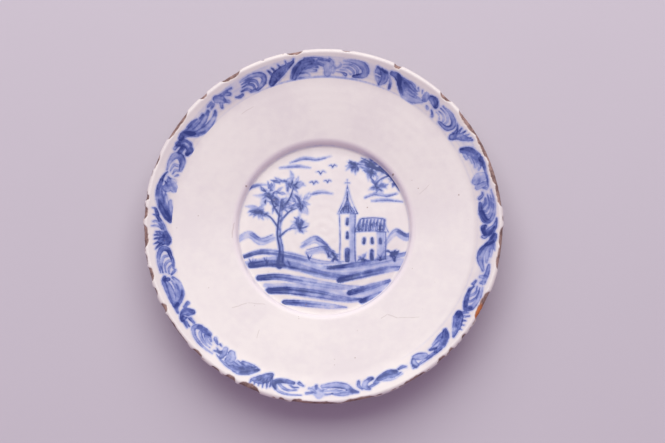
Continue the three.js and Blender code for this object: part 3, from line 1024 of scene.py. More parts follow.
BUNCHES = (
    # From 18 degrees
    (BODY, (1.6, 3.4, 3.4, 1.4), (0.75, 0.65), ((18.8, 6.2), (19.2, 9), (20, 12.5), (20.8, 16.2))),
    (BODY, (2.2, 4, 3.6, 2), (0.75, 0.7), ((20.4, 7.2), (21.8, 9), (22.2, 12.2), (21.2, 15.8))),
    (LINE, (0.8, 1.2), (0.7,), ((18.5, 5.9), (20, 6.6), (22.2, 7.8))),
    (BODY, (0.9, 1.8, 1.6), (0.6, 0.75), ((23.4, 8.8), (24.6, 12.3), (25, 16))),
    # From 88 degrees
    (BODY, (1, 2.6, 4.2, 3.8, 2), (0.85,),
     ((88.6, 4.4), (90.6, 5.8), (92.2, 8.4), (93, 11.4), (91.6, 14.2))),
    (LINE, (1.2, 2.4, 2.6, 2), (0.9,), ((91, 6.2), (92.8, 9), (93, 12), (91.2, 14.2))),
    (LINE, (2.2, 2.8), (0.95,), ((90.6, 12.4), (91, 13.8))),
    (BODY, (1.2, 1), (0.7,), ((88.3, 4.5), (90, 4.7))),
    (BODY, (1, 2, 1.6), (0.8,), ((93.6, 9.5), (94.4, 12.4), (94.2, 14))),
    # From 161 degrees
    (LINE, (0.8, 1.8, 1.2), (0.8,), ((161, 8.4), (163, 7.8), (164.6, 7.4))),
    (BODY, (1.6, 3.2, 3, 2), (0.65,), ((164.6, 5.8), (165.8, 8.4), (165.2, 11.2), (163, 12.8))),
    (LINE, (1.6, 1.8), (0.75,), ((162.6, 12.6), (163.8, 13))),
    (BODY, (1, 2, 1.6), (0.75,), ((166.9, 7.2), (167.8, 10), (167.6, 12.9))),
    # From 232 degrees
    (LINE, (1, 1.6), (0.75,), ((232.8, 6.2), (235.4, 6.8))),
    (LINE, (0.8, 1), (0.7,), ((232.8, 7.8), (234.8, 8.2))),
    (LINE, (1.4, 2), (0.7,), ((233, 12), (235, 11.4))),
    (BODY, (2, 4.4, 4.4, 3.2), (0.85,), ((235.8, 6.4), (237, 9.2), (237.4, 12), (236.8, 15.2))),
    (LINE, (1.4, 2.2, 2), (0.85,), ((236.6, 6.4), (238.4, 9.6), (238.4, 13), (236.6, 15.6))),
    (LINE, (1.6, 2.4), (0.8,), ((239.6, 12.5), (240.4, 15.8))),
    # From 297 degrees
    (LINE, (1.8, 1.8), (0.85,), ((297.6, 6.5), (300, 7.4))),
    (LINE, (2.2, 2.4), (0.85,), ((297.4, 10.4), (300, 11))),
    (LINE, (2.4, 2.8), (0.9,), ((298.4, 15.2), (300.4, 16))),
    (BODY, (2.4, 4.4, 4.4, 3.4), (0.85,), ((299.4, 6.6), (300.8, 9.2), (301.2, 12.6), (300, 16))),
    (LINE, (1.2, 1.6, 1.6), (0.8,), ((300.2, 6.8), (302, 10), (302, 14))),
)

FALLING_LEAVES = (
    # From 23 degrees
    (LINE, (2.2, 3.4, 2.4), (1.4, 1.1), ((23.9, 6.6), (25.6, 6.6), (27, 8.4), (27.8, 10.8))),
    (LINE, (1.4, 1.8, 1), (0.85, 0.6), ((27.4, 9.5), (28.6, 13), (30.6, 16))),
    (BODY, (2.5, 4, 3.6, 1.8), (0.75, 0.65, 0.6),
     ((28.5, 11.5), (30.8, 15), (34.5, 15.6), (38, 12.8))),
    (BODY, (2.4, 3.4, 2.4, 0.8), (0.7, 0.6, 0.5),
     ((27.6, 8.5), (30, 11.5), (33, 12.8), (36.8, 11.9))),
    (BODY, (2, 3.2, 2.2, 0.8), (0.7, 0.55), ((27, 7.4), (30, 9.5), (32.5, 11), (35.3, 10.6))),
    (BODY, (1.6, 2.6, 1.8, 0.7), (0.6, 0.5), ((27.5, 6.7), (31, 8.2), (33.8, 9.4), (34.8, 9))),
    (BODY, (1.2, 1.2, 0.6), (0.5,), ((28, 6.5), (32, 6.6), (33.5, 7.4))),
    (BODY, (1, 0.8), (0.5,), ((34.3, 6.9), (35.2, 8.4))),
    (BODY, (1, 0.8), (0.5,), ((36, 6.9), (36.5, 8.5))),
    # From 93 degrees
    (LINE, (2.6, 3.8, 2.8, 1.6), (1.3, 1), ((93.9, 5.7), (95.1, 6.6), (96.3, 8.7), (97.3, 11.3))),
    (LINE, (1.4, 1.6, 1), (0.8,), ((97, 10.6), (98.6, 13.4), (101, 14.6))),
    (BODY, (2.6, 4, 3.4, 1.6), (0.75, 0.65),
     ((97.6, 10.5), (99.8, 13.4), (103, 13.2), (106.2, 9.6))),
    (BODY, (2.4, 3.2, 1.4), (0.65, 0.5), ((96.6, 7.6), (99.5, 9.2), (103.3, 8.8))),
    (BODY, (2, 2.6, 1.2), (0.6, 0.5), ((96.4, 6.6), (98.6, 7.2), (101.2, 6.8))),
    (BODY, (1.6, 1.6, 0.8), (0.55,), ((96.4, 5.8), (97.8, 5.4), (99, 4.6))),
    # From 168 degrees
    (LINE, (1.4, 2.2, 1.4), (0.8,), ((168.6, 5.6), (170, 6.6), (171, 9))),
    (BODY, (1.6, 2.6, 3.8, 3.6, 2), (0.6, 0.55),
     ((169.2, 5.9), (170.6, 8), (172.6, 11.2), (176, 13), (180.5, 12.4))),
    (BODY, (2, 3.4, 3, 1.2), (0.55, 0.45), ((170.6, 6.8), (173.6, 8.9), (177, 9.8), (181, 8.8))),
    (BODY, (1.6, 2.4, 1.6, 0.9), (0.5,), ((170.5, 5.8), (174.5, 5.9), (177.4, 6.8))),
    (BODY, (1, 1.2), (0.65,), ((177, 7), (179.5, 6.4))),
    # From 239 degrees
    (LINE, (1.4, 2.2, 1.6), (0.85,), ((238.8, 6.5), (240.6, 7.2), (241.8, 9.6))),
    (LINE, (1.2, 1.4, 0.9), (0.7,), ((241.8, 9.4), (243.2, 13.4), (245.4, 16))),
    (BODY, (2, 4, 4, 3, 1.4), (0.65, 0.6),
     ((240.9, 7.4), (242.6, 10.8), (244.8, 14.6), (248.4, 15.8), (251.2, 13.4))),
    (BODY, (2.2, 3, 2.2, 1), (0.6, 0.5), ((242, 8.6), (244.4, 12.2), (247.4, 13.4), (250, 12))),
    (BODY, (2.6, 3.6, 3, 1.6), (0.6, 0.65), ((241.6, 7), (244.6, 8.6), (248, 9), (250.6, 8.2))),
    (BODY, (1.4, 2.2, 2.4, 1.6), (0.6, 0.8), ((243, 6.2), (247.5, 6.6), (250.6, 6.8), (252, 8.4))),
    (BODY, (2.6, 2.2), (0.75,), ((250.8, 8.2), (250.9, 10.2))),
    # From 301 degrees
    (LINE, (2.4, 3.6, 2.8, 1.6), (1.4, 1.1), ((301.6, 6.6), (303.4, 7), (305, 9.8), (305.9, 12))),
    (LINE, (1.4, 1.4, 0.9), (0.8,), ((305.4, 11), (306.8, 14), (309, 16.4))),
    (BODY, (2.4, 3.4, 3.6, 2.6, 1.6), (0.75, 0.6, 0.65),
     ((305, 10.2), (306.8, 13.6), (310.6, 16), (314.6, 15.2), (316.8, 13))),
    (LINE, (1.6, 1.2), (0.7,), ((316, 14), (317, 12))),
    (BODY, (2, 2.8, 3, 1.8), (0.6, 0.55), ((305.2, 9.4), (308.4, 11.6), (311.8, 11.4), (315, 9.2))),
    (BODY, (2, 2.4, 2.4, 1.2), (0.65, 0.55), ((304.4, 7), (308, 8.6), (310.6, 9), (312.8, 8.5))),
    (BODY, (1.4, 1.6, 0.9), (0.6,), ((304, 6), (308, 6.3), (310.4, 7.4))),
    (LINE, (1, 1.2), (0.7,), ((311.2, 8.6), (313, 8.4))),
    (LINE, (1, 1), (0.7,), ((314, 9.6), (315.2, 9))),
)

RISING_LEAVES = (
    # From 60 degrees
    (LINE, (1.2, 2.4, 1.6), (0.95, 0.85), ((60.6, 14.8), (61.6, 11.5), (63.2, 8.6), (65, 7))),
    (BODY, (2.4, 4.4, 4.2, 2.2), (0.85, 0.75, 0.7),
     ((61.2, 14.6), (62.8, 10.6), (65.8, 7.3), (69, 6.6))),
    (BODY, (2.4, 1.8, 1.2, 0.8), (0.75, 0.65), ((67, 5.6), (70.5, 5.6), (74, 6.2), (77, 7))),
    (BODY, (2.6, 2.8, 1.2), (0.65, 0.45), ((62, 13.8), (63.5, 13.8), (64.8, 14.4))),
    (BODY, (2.6, 2.8, 1.2), (0.65, 0.45), ((62.8, 12), (65, 11.3), (67, 12))),
    (BODY, (2.6, 2.8, 1.2), (0.65, 0.5), ((64, 10), (67, 9.6), (69, 11.2))),
    (BODY, (2.6, 2.4, 1), (0.65, 0.5), ((66, 8.4), (69, 8.4), (70.4, 9.8))),
    # From 131 degrees
    (LINE, (1.2, 2.2, 1.4), (0.95, 0.85), ((130.9, 13.4), (131.8, 10.6), (133.4, 8.2), (135.5, 7))),
    (BODY, (2.2, 4, 3.8, 2), (0.8, 0.7), ((131.5, 13), (133.2, 9.8), (136, 7.4), (139, 7.2))),
    (BODY, (1.8, 1.2, 0.9, 0.7), (0.65,), ((137, 6.2), (140.5, 6.4), (144.5, 6.6), (148.5, 6.8))),
    (BODY, (2.6, 3, 1.4), (0.7, 0.5), ((132.4, 12.4), (134.6, 12.4), (138, 12))),
    (BODY, (2.6, 3, 1.6), (0.7, 0.5), ((134, 10.4), (136.6, 10), (139.2, 10.6))),
    (BODY, (1, 1.6, 1.4), (0.7,), ((138, 8.6), (139.2, 9.6), (140, 10.6))),
    # From 204 degrees
    (LINE, (1.6, 2.6, 1.8), (0.95, 0.85), ((204.2, 14.2), (205.4, 12.2), (207, 9.4), (209, 7))),
    (BODY, (3, 5, 4.4, 2.6), (0.8, 0.75), ((205.4, 14.2), (207.4, 10.8), (210, 7.6), (213, 6.8))),
    (BODY, (2.2, 1.6, 1.1, 0.8), (0.7, 0.6), ((211, 6.2), (214.5, 6.2), (217, 6.8), (219.3, 8))),
    (BODY, (3, 3.2, 1.4), (0.8, 0.65), ((206.4, 14.4), (208.6, 14), (210.6, 14.2))),
    (BODY, (3, 3.2, 1.4), (0.8, 0.65), ((208, 11.8), (210.4, 11.4), (212.4, 12.6))),
    (BODY, (3, 3, 1.2), (0.8, 0.65), ((209.4, 9.6), (211.6, 9.2), (213.4, 11))),
    (BODY, (2, 2, 1), (0.65, 0.5), ((211.6, 7.6), (214.4, 8), (216, 9.4))),
    # From 272 degrees
    (LINE, (2, 3.4, 2.6, 1.4), (0.95, 0.85), ((272.2, 16.8), (274, 13.8), (276.4, 10.6), (279, 8))),
    (BODY, (3.4, 5.2, 4.8, 3, 2), (0.8, 0.75),
     ((273.4, 16.2), (276, 12.6), (279.4, 8.6), (283, 6.4), (286, 6.6))),
    (BODY, (2.2, 1.6, 1.2, 0.8), (0.7,), ((283, 5.8), (286, 6.4), (288, 7.2), (289.4, 8.4))),
    (BODY, (3, 3.4, 1.6), (0.6, 0.5), ((274.6, 16.2), (277, 15.8), (279.8, 15.4))),
    (BODY, (3, 3.4, 1.6), (0.6, 0.5), ((276.6, 14), (279, 12.4), (281.4, 11.6))),
    (BODY, (2.6, 2.6, 1.2), (0.6, 0.5), ((279, 10.8), (281.6, 9.8), (283.4, 11))),
    # From 348 degrees
    (LINE, (1.6, 2.4, 1.6), (0.9, 0.8), ((347.7, 16), (348.6, 13), (350, 9.8), (351.6, 7.6))),
    (BODY, (3, 4.8, 4.4, 2.6), (0.75, 0.7), ((348.9, 15.8), (350.2, 11.8), (352.6, 8.4), (356, 7))),
    (BODY, (2.4, 2, 1.6, 1.2), (0.7,), ((353.6, 5.9), (357, 5.8), (360, 6.4), (362, 7.2))),
    (BODY, (2.8, 3.2, 1.6), (0.6,), ((350, 15.4), (352.2, 15.2), (354.4, 15.8))),
    (BODY, (2.8, 3.2, 1.6), (0.6,), ((351.4, 12.8), (353.6, 12.4), (357, 13.2))),
    (BODY, (2.6, 2.4, 1.2), (0.6,), ((352.6, 10.8), (355.4, 10), (357.8, 11.2))),
    (BODY, (1.6, 2, 1.6), (0.6,), ((353, 8.6), (357, 8.2), (359.6, 10))),
)

COMBS = (
    # From 53 degrees
    (BODY, (3.4, 3.6, 1.2), (1, 0.9, 0.75), ((55, 15.2), (56, 12), (58.5, 8.2), (60.3, 5))),
    # From 122 degrees
    (BODY, (3.4, 5.4, 4.6, 1.6), (0.95, 0.85),
     ((123.6, 12.6), (125, 11.2), (127.8, 8.5), (131.2, 5.8))),
    # From 198 degrees
    (BODY, (2.8, 5.2, 5, 1.8), (0.84, 0.76),
     ((199.2, 14.2), (200.4, 11), (202.2, 8.2), (204.6, 6.2))),
    # From 262 degrees
    (LINE, (3, 4.4, 3), (0.85,), ((264, 14.6), (265.4, 14.8), (267.4, 14))),
    (BODY, (4, 4.4, 2.4), (0.8,), ((265, 15), (265, 12), (264.6, 9.6))),
    (BODY, (3, 3, 2, 1.2), (0.75, 0.65), ((267, 14.2), (270, 12), (273, 9), (276, 6))),
    # From 340 degrees
    (LINE, (2.4, 2.8), (0.85,), ((340, 16), (341.6, 14))),
    (BODY, (3, 5, 4.4, 1.6), (1.0, 0.9), ((340.2, 15.8), (342.4, 12.6), (345.2, 10), (349.4, 6))),
)

# Each tooth of the combs by its points, from the root: all have the same widths and strengths
TOOTH_WIDTHS = (2.4, 1.9, 1.0)
TOOTH_TONES = (0.9, 0.72)
COMB_TEETH = (
    ((55.2, 13.5), (54.3, 10), (53.3, 7.3)),
    ((55.6, 12.5), (55.2, 9.5), (54.8, 6.4)),
    ((56.3, 11.8), (56.4, 8.8), (56.4, 5.6)),
    ((57, 11), (57.6, 8), (58, 5)),
    ((57.6, 10), (58.8, 7.3), (59.4, 4.8)),
    ((123.4, 12), (122.4, 9.6), (121.8, 7)),
    ((124, 11), (123.6, 8), (122.6, 5.2)),
    ((125, 10.4), (125, 7.6), (124.6, 5.6)),
    ((126, 10), (126.6, 7), (126.2, 4.6)),
    ((127, 9.4), (128, 6.6), (127.8, 4.2)),
    ((128, 8.8), (129.4, 6.6)),
    ((199, 13), (198.3, 9.5), (198.2, 5.6)),
    ((199.5, 11.5), (199.4, 8), (199, 4.4)),
    ((200.4, 10.5), (200.8, 7.4), (200.4, 3.8)),
    ((201.4, 9.4), (202, 6.6), (201.8, 3.8)),
    ((202.4, 8.6), (203.4, 6), (203.2, 3.8)),
    ((203.4, 7.6), (204.6, 5.6), (204.8, 3.6)),
    ((264, 12), (263.2, 9), (262, 6.2)),
    ((264.8, 11.5), (264.4, 8.4), (263.8, 5.8)),
    ((265.6, 11.5), (265.8, 8.4), (265.4, 6)),
    ((266.4, 12), (267, 9), (266.8, 6.3)),
    ((267, 12.4), (268, 10), (267.9, 7.4)),
    ((269.4, 12), (270.2, 8.6), (269.9, 4.6)),
    ((270.6, 11), (271.6, 8), (271.3, 5.2)),
    ((272, 10), (273.6, 7.6), (273.8, 5.6)),
    ((274, 8.4), (275.8, 6.6), (276, 4.6)),
    ((341.4, 12.6), (341, 9.6), (340.3, 7.4)),
    ((342.4, 11.4), (342.4, 8.6), (341.8, 6.4)),
    ((343.8, 10.4), (344.6, 7.8), (344.2, 5.8)),
    ((345.6, 9.4), (347, 7), (346.9, 4.8)),
    ((347.6, 8), (349.2, 6), (349.8, 4.3)),
)

CLUSTERS = (
    # At 0 degrees
    (BODY, (3, 5, 4), (0.58, 0.5), ((358.2, 7.5), (360.8, 9.5), (361.5, 12.5), (361.2, 15))),
    (BODY, (1.5, 2.6, 1.2), (0.7, 0.6), ((1.8, 6.2), (2.8, 8.5), (2.2, 11.8))),
    (BODY, (1, 1.4, 1), (0.55,), ((3.3, 10), (4, 11.8), (3.3, 15))),
    (BODY, (0.5, 1.3, 0.6), (0.5,), ((5.6, 7.7), (6.1, 9.2), (5.2, 11), (4.2, 11.8))),
    (BODY, (0.5, 1, 1.9), (0.6, 0.8), ((4.4, 13.8), (6.3, 14), (7.9, 15.2))),
    # At 41 degrees
    (WASH, (3, 4, 3), (0.5,), ((38, 7.5), (38.2, 9.5), (38.5, 10.5))),
    (BODY, (3, 4.2, 3), (0.8, 0.85), ((40, 7.4), (41.5, 7.6), (42.8, 9.2))),
    (LINE, (1.6, 2.2, 1.2), (0.85,), ((41, 6.6), (42.3, 7.6), (42.8, 9.6))),
    (BODY, (1.2, 1.6), (0.6,), ((40.3, 13.3), (41.2, 14.2))),
    (BODY, (0.8, 1.2, 1.8), (0.7,), ((42.6, 13.2), (43.5, 14.3), (44.2, 15.8))),
    # At 74 degrees
    (BODY, (4.5, 5, 4.5), (0.5,), ((73, 8.6), (72.8, 11.5), (73.6, 14))),
    (BODY, (2.4, 3.4, 3), (0.6, 0.5), ((75.6, 7.6), (75.8, 10.5), (76, 14))),
    (LINE, (1.6, 1.2), (0.6,), ((77.5, 8.4), (77, 10.4))),
    (BODY, (0.8, 1.4, 2), (0.85,), ((78, 12), (79.3, 12.2), (80.1, 14.4))),
    # At 108 degrees
    (BODY, (1.6, 2.6, 2.4), (0.65,), ((104.2, 6.6), (107, 6.4), (110.6, 6.8))),
    (BODY, (2.4, 2, 1.6), (0.7,), ((108.4, 6.8), (108.6, 8.8), (108.7, 10.2))),
    (BODY, (1.6, 1.8), (0.7,), ((110, 6.4), (110.6, 8.4))),
    (BODY, (1, 1.8), (0.8,), ((110.4, 12.2), (111.8, 13.2))),
    # At 145 degrees
    (BODY, (3.4, 4.4, 3), (0.55,), ((142.6, 9.5), (144.2, 11.5), (145.8, 13))),
    (BODY, (3, 3.2, 2), (0.7, 0.6), ((147, 7.6), (147.2, 10), (146.6, 12.4))),
    (LINE, (1.4, 1.6), (0.7,), ((147.4, 6.6), (148, 8.4))),
    (BODY, (0.7, 0.7), (0.5,), ((139.5, 7.6), (143, 8), (146, 7.6))),
    (BODY, (1, 2, 1.4), (0.85,), ((150.2, 10.6), (151.4, 11.9), (152.8, 11.7))),
    # At 184 degrees
    (WASH, (5, 5), (0.35,), ((181.5, 6.5), (183, 9.5))),
    (BODY, (1.4, 1.8, 1.4), (0.6,), ((182.6, 7.4), (183.8, 9.4), (185, 10.3))),
    (BODY, (1.4, 1.4), (0.65,), ((183.8, 7.8), (185.8, 6.6))),
    (BODY, (1.4, 1.8), (0.7,), ((182.7, 10.5), (182.6, 12.6))),
    (BODY, (1, 1), (0.5,), ((180.2, 9.5), (180.6, 10.6))),
    (BODY, (1.2, 2), (0.8,), ((187.2, 11.9), (188.8, 13.2))),
    # At 216 degrees
    (BODY, (4, 5.4, 4), (0.56,), ((215, 9.4), (214.8, 12), (215.6, 14.8))),
    (BODY, (2.6, 3.4, 2.6), (0.7, 0.6), ((217.6, 9), (217.9, 12), (218.4, 15))),
    (LINE, (1.8, 1), (0.8,), ((218.6, 11), (220.9, 9))),
    (LINE, (1, 0.7), (0.7,), ((218.8, 10.8), (221, 11.6))),
    (LINE, (0.9, 0.6), (0.7,), ((219, 9.8), (220.4, 10.8))),
    (BODY, (1.2, 1.2), (0.7,), ((220, 14.8), (221, 15.2))),
    (BODY, (1, 1.8, 2), (0.75,), ((221.6, 14), (223, 15), (223.8, 16))),
    # At 253 degrees
    (BODY, (1, 1.8, 1.6), (0.7,), ((252.3, 13.2), (253.1, 15), (253.6, 16.6))),
    # At 285 degrees
    (BODY, (4.4, 5.4, 4.4), (0.54,), ((283.8, 11), (285.2, 13.5), (284.6, 16))),
    (BODY, (3, 3), (0.5,), ((286.8, 11.6), (287, 14.6))),
    (LINE, (1.2, 0.8), (0.7,), ((285, 11), (285.9, 9.1))),
    (LINE, (1, 0.8), (0.6,), ((287.4, 11.6), (287.8, 10))),
    # At 321 degrees
    (BODY, (1.2, 1.8, 1.2), (0.6,), ((316, 6.9), (318, 6.5))),
    (BODY, (1, 1.8), (0.65,), ((316.4, 9.2), (318, 8.4))),
    (BODY, (4, 4.4, 3.4), (0.6,), ((320, 7), (321.2, 8.6), (321.6, 10))),
    (LINE, (1.6, 1.8), (0.7,), ((322, 6.8), (324.4, 6.8))),
    (BODY, (1, 1), (0.6,), ((325, 6.4), (326.4, 6.8))),
    (BODY, (2, 2), (0.7,), ((323.4, 7.8), (324.8, 9.4))),
    (BODY, (2, 1.8), (0.7,), ((320.4, 11), (319.8, 13))),
    (BODY, (1.8, 2), (0.7,), ((322, 11), (323, 13))),
    (BODY, (1, 1.8, 1.6), (0.75,), ((326, 13.4), (327.4, 14.6), (328.6, 14.4))),
)

# Lines of white left through the paint: width in mm, and points
SPARED = (
    (0.8, ((18.7, 10.6), (20.4, 11.1))),
    (0.7, ((172.6, 8.6), (175.6, 10.2), (178.6, 10.2))),
    (0.5, ((235.6, 11.6), (237, 9))),
)

# Pale blue along the border, three thin lines and three broad veils: its width in mm, its
# strength, its first and last degree and how far in from the lip it is, in mm. The veils are partly
# a faint haze of cobalt and partly painted shade on the rim, darker from the upper left over the
# top to the lower right.
BLUE_LINES_AND_SHADE_VEILS = (
    (1.7, 0.38, -31, 30, 17.6),
    (1.2, 0.13, -70, 100, 17.5),
    (0.4, 0.16, 96, 150, 17.2),
    (11, 0.07, -180, 180, 10.2),
    (10, 0.13, -75, 45, 8.6),
    (8, 0.14, 25, 135, 8.9),
)


def on_border(points):
    """Points of the border, in space."""
    degrees, inward = np.array(points, float).T
    out = RIM_RADIUS * 1000 - inward * BORDER_SHARE - BORDER_IN
    turn = np.radians(degrees)
    return np.column_stack([out * np.sin(turn), out * np.cos(turn)]) + BORDER_OFF


def paint_border(painting):
    """The leaf scroll round the rim, with the lines of pale blue along it and the veils, which are
    partly painted shade.
    """
    for group in (CLUSTERS, SHELLS, BUNCHES, RISING_LEAVES, FALLING_LEAVES, COMBS):
        for layer, widths, tones, points in group:
            off = math.radians(points[0][0] - FAINTEST)
            painting.strength = STRENGTH - FAINTER * math.cos(off)
            painting.stroke(layer, on_border(points), np.multiply(widths, BORDER_BRUSH), tones)
    for points in COMB_TEETH:
        painting.stroke(BODY, on_border(points), TOOTH_WIDTHS, TOOTH_TONES)
    for width, points in SPARED:
        painting.spare(on_border(points), [width, width])
    # painted shade: the broad veils also darken the rim, most from the upper left over the top to
    # the lower right
    for width, tone, start, end, inward in BLUE_LINES_AND_SHADE_VEILS:
        ring = [(degrees, inward) for degrees in np.linspace(start, end, 30)]
        tones = [tone * 0.5, tone, tone, tone * 0.5]
        painting.stroke(WASH, on_border(ring), [width * 0.4, width, width * 0.4], tones)


# Materials


class Nodes:
    """A material's node tree, built one node at a time."""

    def __init__(self, name):
        self.material = bpy.data.materials.new(name)
        self.material.use_nodes = True
        self.tree = self.material.node_tree
        self.tree.nodes.clear()
        self.shader = self.add("ShaderNodeBsdfPrincipled")
        output = self.add("ShaderNodeOutputMaterial")
        self.tree.links.new(self.shader.outputs["BSDF"], output.inputs["Surface"])
        self.place = self.add("ShaderNodeTexCoord").outputs["Object"]

    def add(self, kind, **settings):
        """A node with settings, moved clear of the ones before it."""
        node = self.tree.nodes.new(kind)
        number = len(self.tree.nodes)
        node.location = (-220 * (number // 8), -240 * (number % 8))
        for key, value in settings.items():
            setattr(node, key, value)
        return node

    def put(self, socket, value):
        """Gives a socket a value, or links it to an output."""
        if isinstance(value, bpy.types.NodeSocket):
            self.tree.links.new(value, socket)
        else:
            socket.default_value = value

    def math(self, operation, a, b=0.0, clamp=False):
        """What comes of one or two values."""
        node = self.add("ShaderNodeMath", operation=operation, use_clamp=clamp)
        self.put(node.inputs[0], a)
        self.put(node.inputs[1], b)
        return node.outputs[0]

    def times(self, a, b):
        """The product of two values."""
        return self.math("MULTIPLY", a, b)

    def plus(self, a, b):
        """The sum of two values."""
        return self.math("ADD", a, b)

    def vector(self, operation, a, b, output="Vector"):
        """What comes of two vectors."""
        node = self.add("ShaderNodeVectorMath", operation=operation)
        self.put(node.inputs[0], a)
        self.put(node.inputs[1], b)
        return node.outputs[output]

    def noise(self, size_mm, detail=2.0, roughness=0.5):
        """Noise with lumps of about a size, from 0 to 1."""
        node = self.add("ShaderNodeTexNoise")
        self.put(node.inputs["Vector"], self.place)
        node.inputs["Scale"].default_value = 1000 / size_mm
        node.inputs["Detail"].default_value = detail
        node.inputs["Roughness"].default_value = roughness
        return node.outputs["Fac"]

    def spots(self, size_mm):
        """Distance from the nearest of scattered points and a random value for it."""
        node = self.add("ShaderNodeTexVoronoi")
        self.put(node.inputs["Vector"], self.place)
        node.inputs["Scale"].default_value = 1000 / size_mm
        node.inputs["Randomness"].default_value = 1.0
        split = self.add("ShaderNodeSeparateColor")
        self.put(split.inputs[0], node.outputs["Color"])
        return node.outputs["Distance"], split.outputs[0]

    def spread(self, value, low, high, start=0.0, end=1.0):
        """A value's range mapped softly to another, held at both ends."""
        node = self.add("ShaderNodeMapRange", clamp=True, interpolation_type="SMOOTHSTEP")
        names = ("Value", "From Min", "From Max", "To Min", "To Max")
        for name, part in zip(names, (value, low, high, start, end)):
            self.put(node.inputs[name], part)
        return node.outputs["Result"]

    def mix(self, share, first, second, blend="MIX"):
        """Two colours mixed."""
        node = self.add("ShaderNodeMix", data_type="RGBA", blend_type=blend)
        self.put(node.inputs[0], share)
        self.put(node.inputs[6], first)
        self.put(node.inputs[7], second)
        return node.outputs[2]

    def ramp(self, value, *stops):
        """A colour ramp through (position, colour) stops."""
        node = self.add("ShaderNodeValToRGB")
        self.put(node.inputs[0], value)
        bar = node.color_ramp
        while len(bar.elements) < len(stops):
            bar.elements.new(0.5)
        for element, (position, tint) in zip(bar.elements, stops):
            element.position = position
            element.color = tint
        return node.outputs["Color"]

    def layers(self, name):
        """The three values of an attribute, one for each layer of paint."""
        attribute = self.add("ShaderNodeAttribute", attribute_name=name)
        split = self.add("ShaderNodeSeparateXYZ")
        self.put(split.inputs[0], attribute.outputs["Vector"])
        return split.outputs

    def value(self, name):
        """An attribute's value."""
        return self.add("ShaderNodeAttribute", attribute_name=name).outputs["Fac"]

    def near_line(self, start, end, width_mm, wander):
        """1 on a thin line between two points of the plate, given in mm, fading beside it."""
        a, b = Vector((*start, 0)) / 1000, Vector((*end, 0)) / 1000
        along = (b - a).normalized()
        across = Vector((-along.y, along.x, 0))
        off = self.vector("SUBTRACT", self.place, (a + b) / 2)
        onward = self.math("ABSOLUTE", self.vector("DOT_PRODUCT", off, along, "Value"))
        aside = self.plus(self.vector("DOT_PRODUCT", off, across, "Value"), wander)
        half = (b - a).length / 2
        within = self.spread(onward, half * 0.8, half, 1.0, 0.0)
        gap = self.math("ABSOLUTE", aside)
        return self.times(within, self.spread(gap, width_mm / 4000, width_mm / 1000, 1.0, 0.0))

    def near_spot(self, centre, width_mm):
        """A soft spot of a width round a point of the plate, given in mm."""
        flat = self.vector("MULTIPLY", self.place, (1, 1, 0))
        gap = self.vector("DISTANCE", flat, Vector((*centre, 0)) / 1000, "Value")
        return self.spread(gap, width_mm / 5000, width_mm / 1700, 0.75, 0.0)

    def bump(self, *heights):
        """Fine relief: (height, depth in mm) pairs, from the coarsest."""
        normal = None
        for height, depth in heights:
            node = self.add("ShaderNodeBump")
            node.inputs["Strength"].default_value = 1.0
            node.inputs["Distance"].default_value = depth / 1000
            self.put(node.inputs["Height"], height)
            if normal is not None:
                self.put(node.inputs["Normal"], normal)
            normal = node.outputs[0]
        self.put(self.shader.inputs["Normal"], normal)


# Scratches in the glaze and one brown hair line, each from one end to the other, in mm
SCRATCHES = (
    ((37.9, -61.5), (42.5, -58.6), 0.4),
    ((42.2, -58.6), (49.5, -61.3), 0.5),
    ((49, -61.3), (64.4, -60.6), 0.4),
    ((-61.5, -54.2), (-50.5, -50.7), 0.45),
    ((-51, -50.7), (-38.5, -51.7), 0.4),
    ((-59.8, 4.5), (-61.6, -7), 0.6),
    ((64, 22), (71, 29), 0.3),
    ((-42.6, -68.5), (-43.8, -75), 0.35),
    ((-56, 77), (-47, 83), 0.3),
)
# Brown specks in the glaze of the face, with their widths, in mm
SPECKS = (
    ((-33.7, 20.5), 1.0),
    ((29.2, 14.9), 1.1),
    ((63.5, 26.4), 0.9),
    ((46.6, 36.5), 1.7),
    ((-52.3, 29), 1.5),
    ((90.5, 21), 1.2),
    ((-12, -51), 1.0),
    ((-84, 8), 0.8),
    ((21, -88), 0.9),
)
SCRATCH_STRENGTH = 0.26  # how dark the scratches are, against the specks
# How ragged and how soft the edges of each layer of paint are, in mm
PAINT_EDGES = ((1.3, 0.7), (0.8, 0.4), (0.35, 0.28))
# How strong the paint is where it has each of its colours
PAINT_COLOURS = ((0.3, "wash"), (0.6, "body"), (0.95, "deep"))


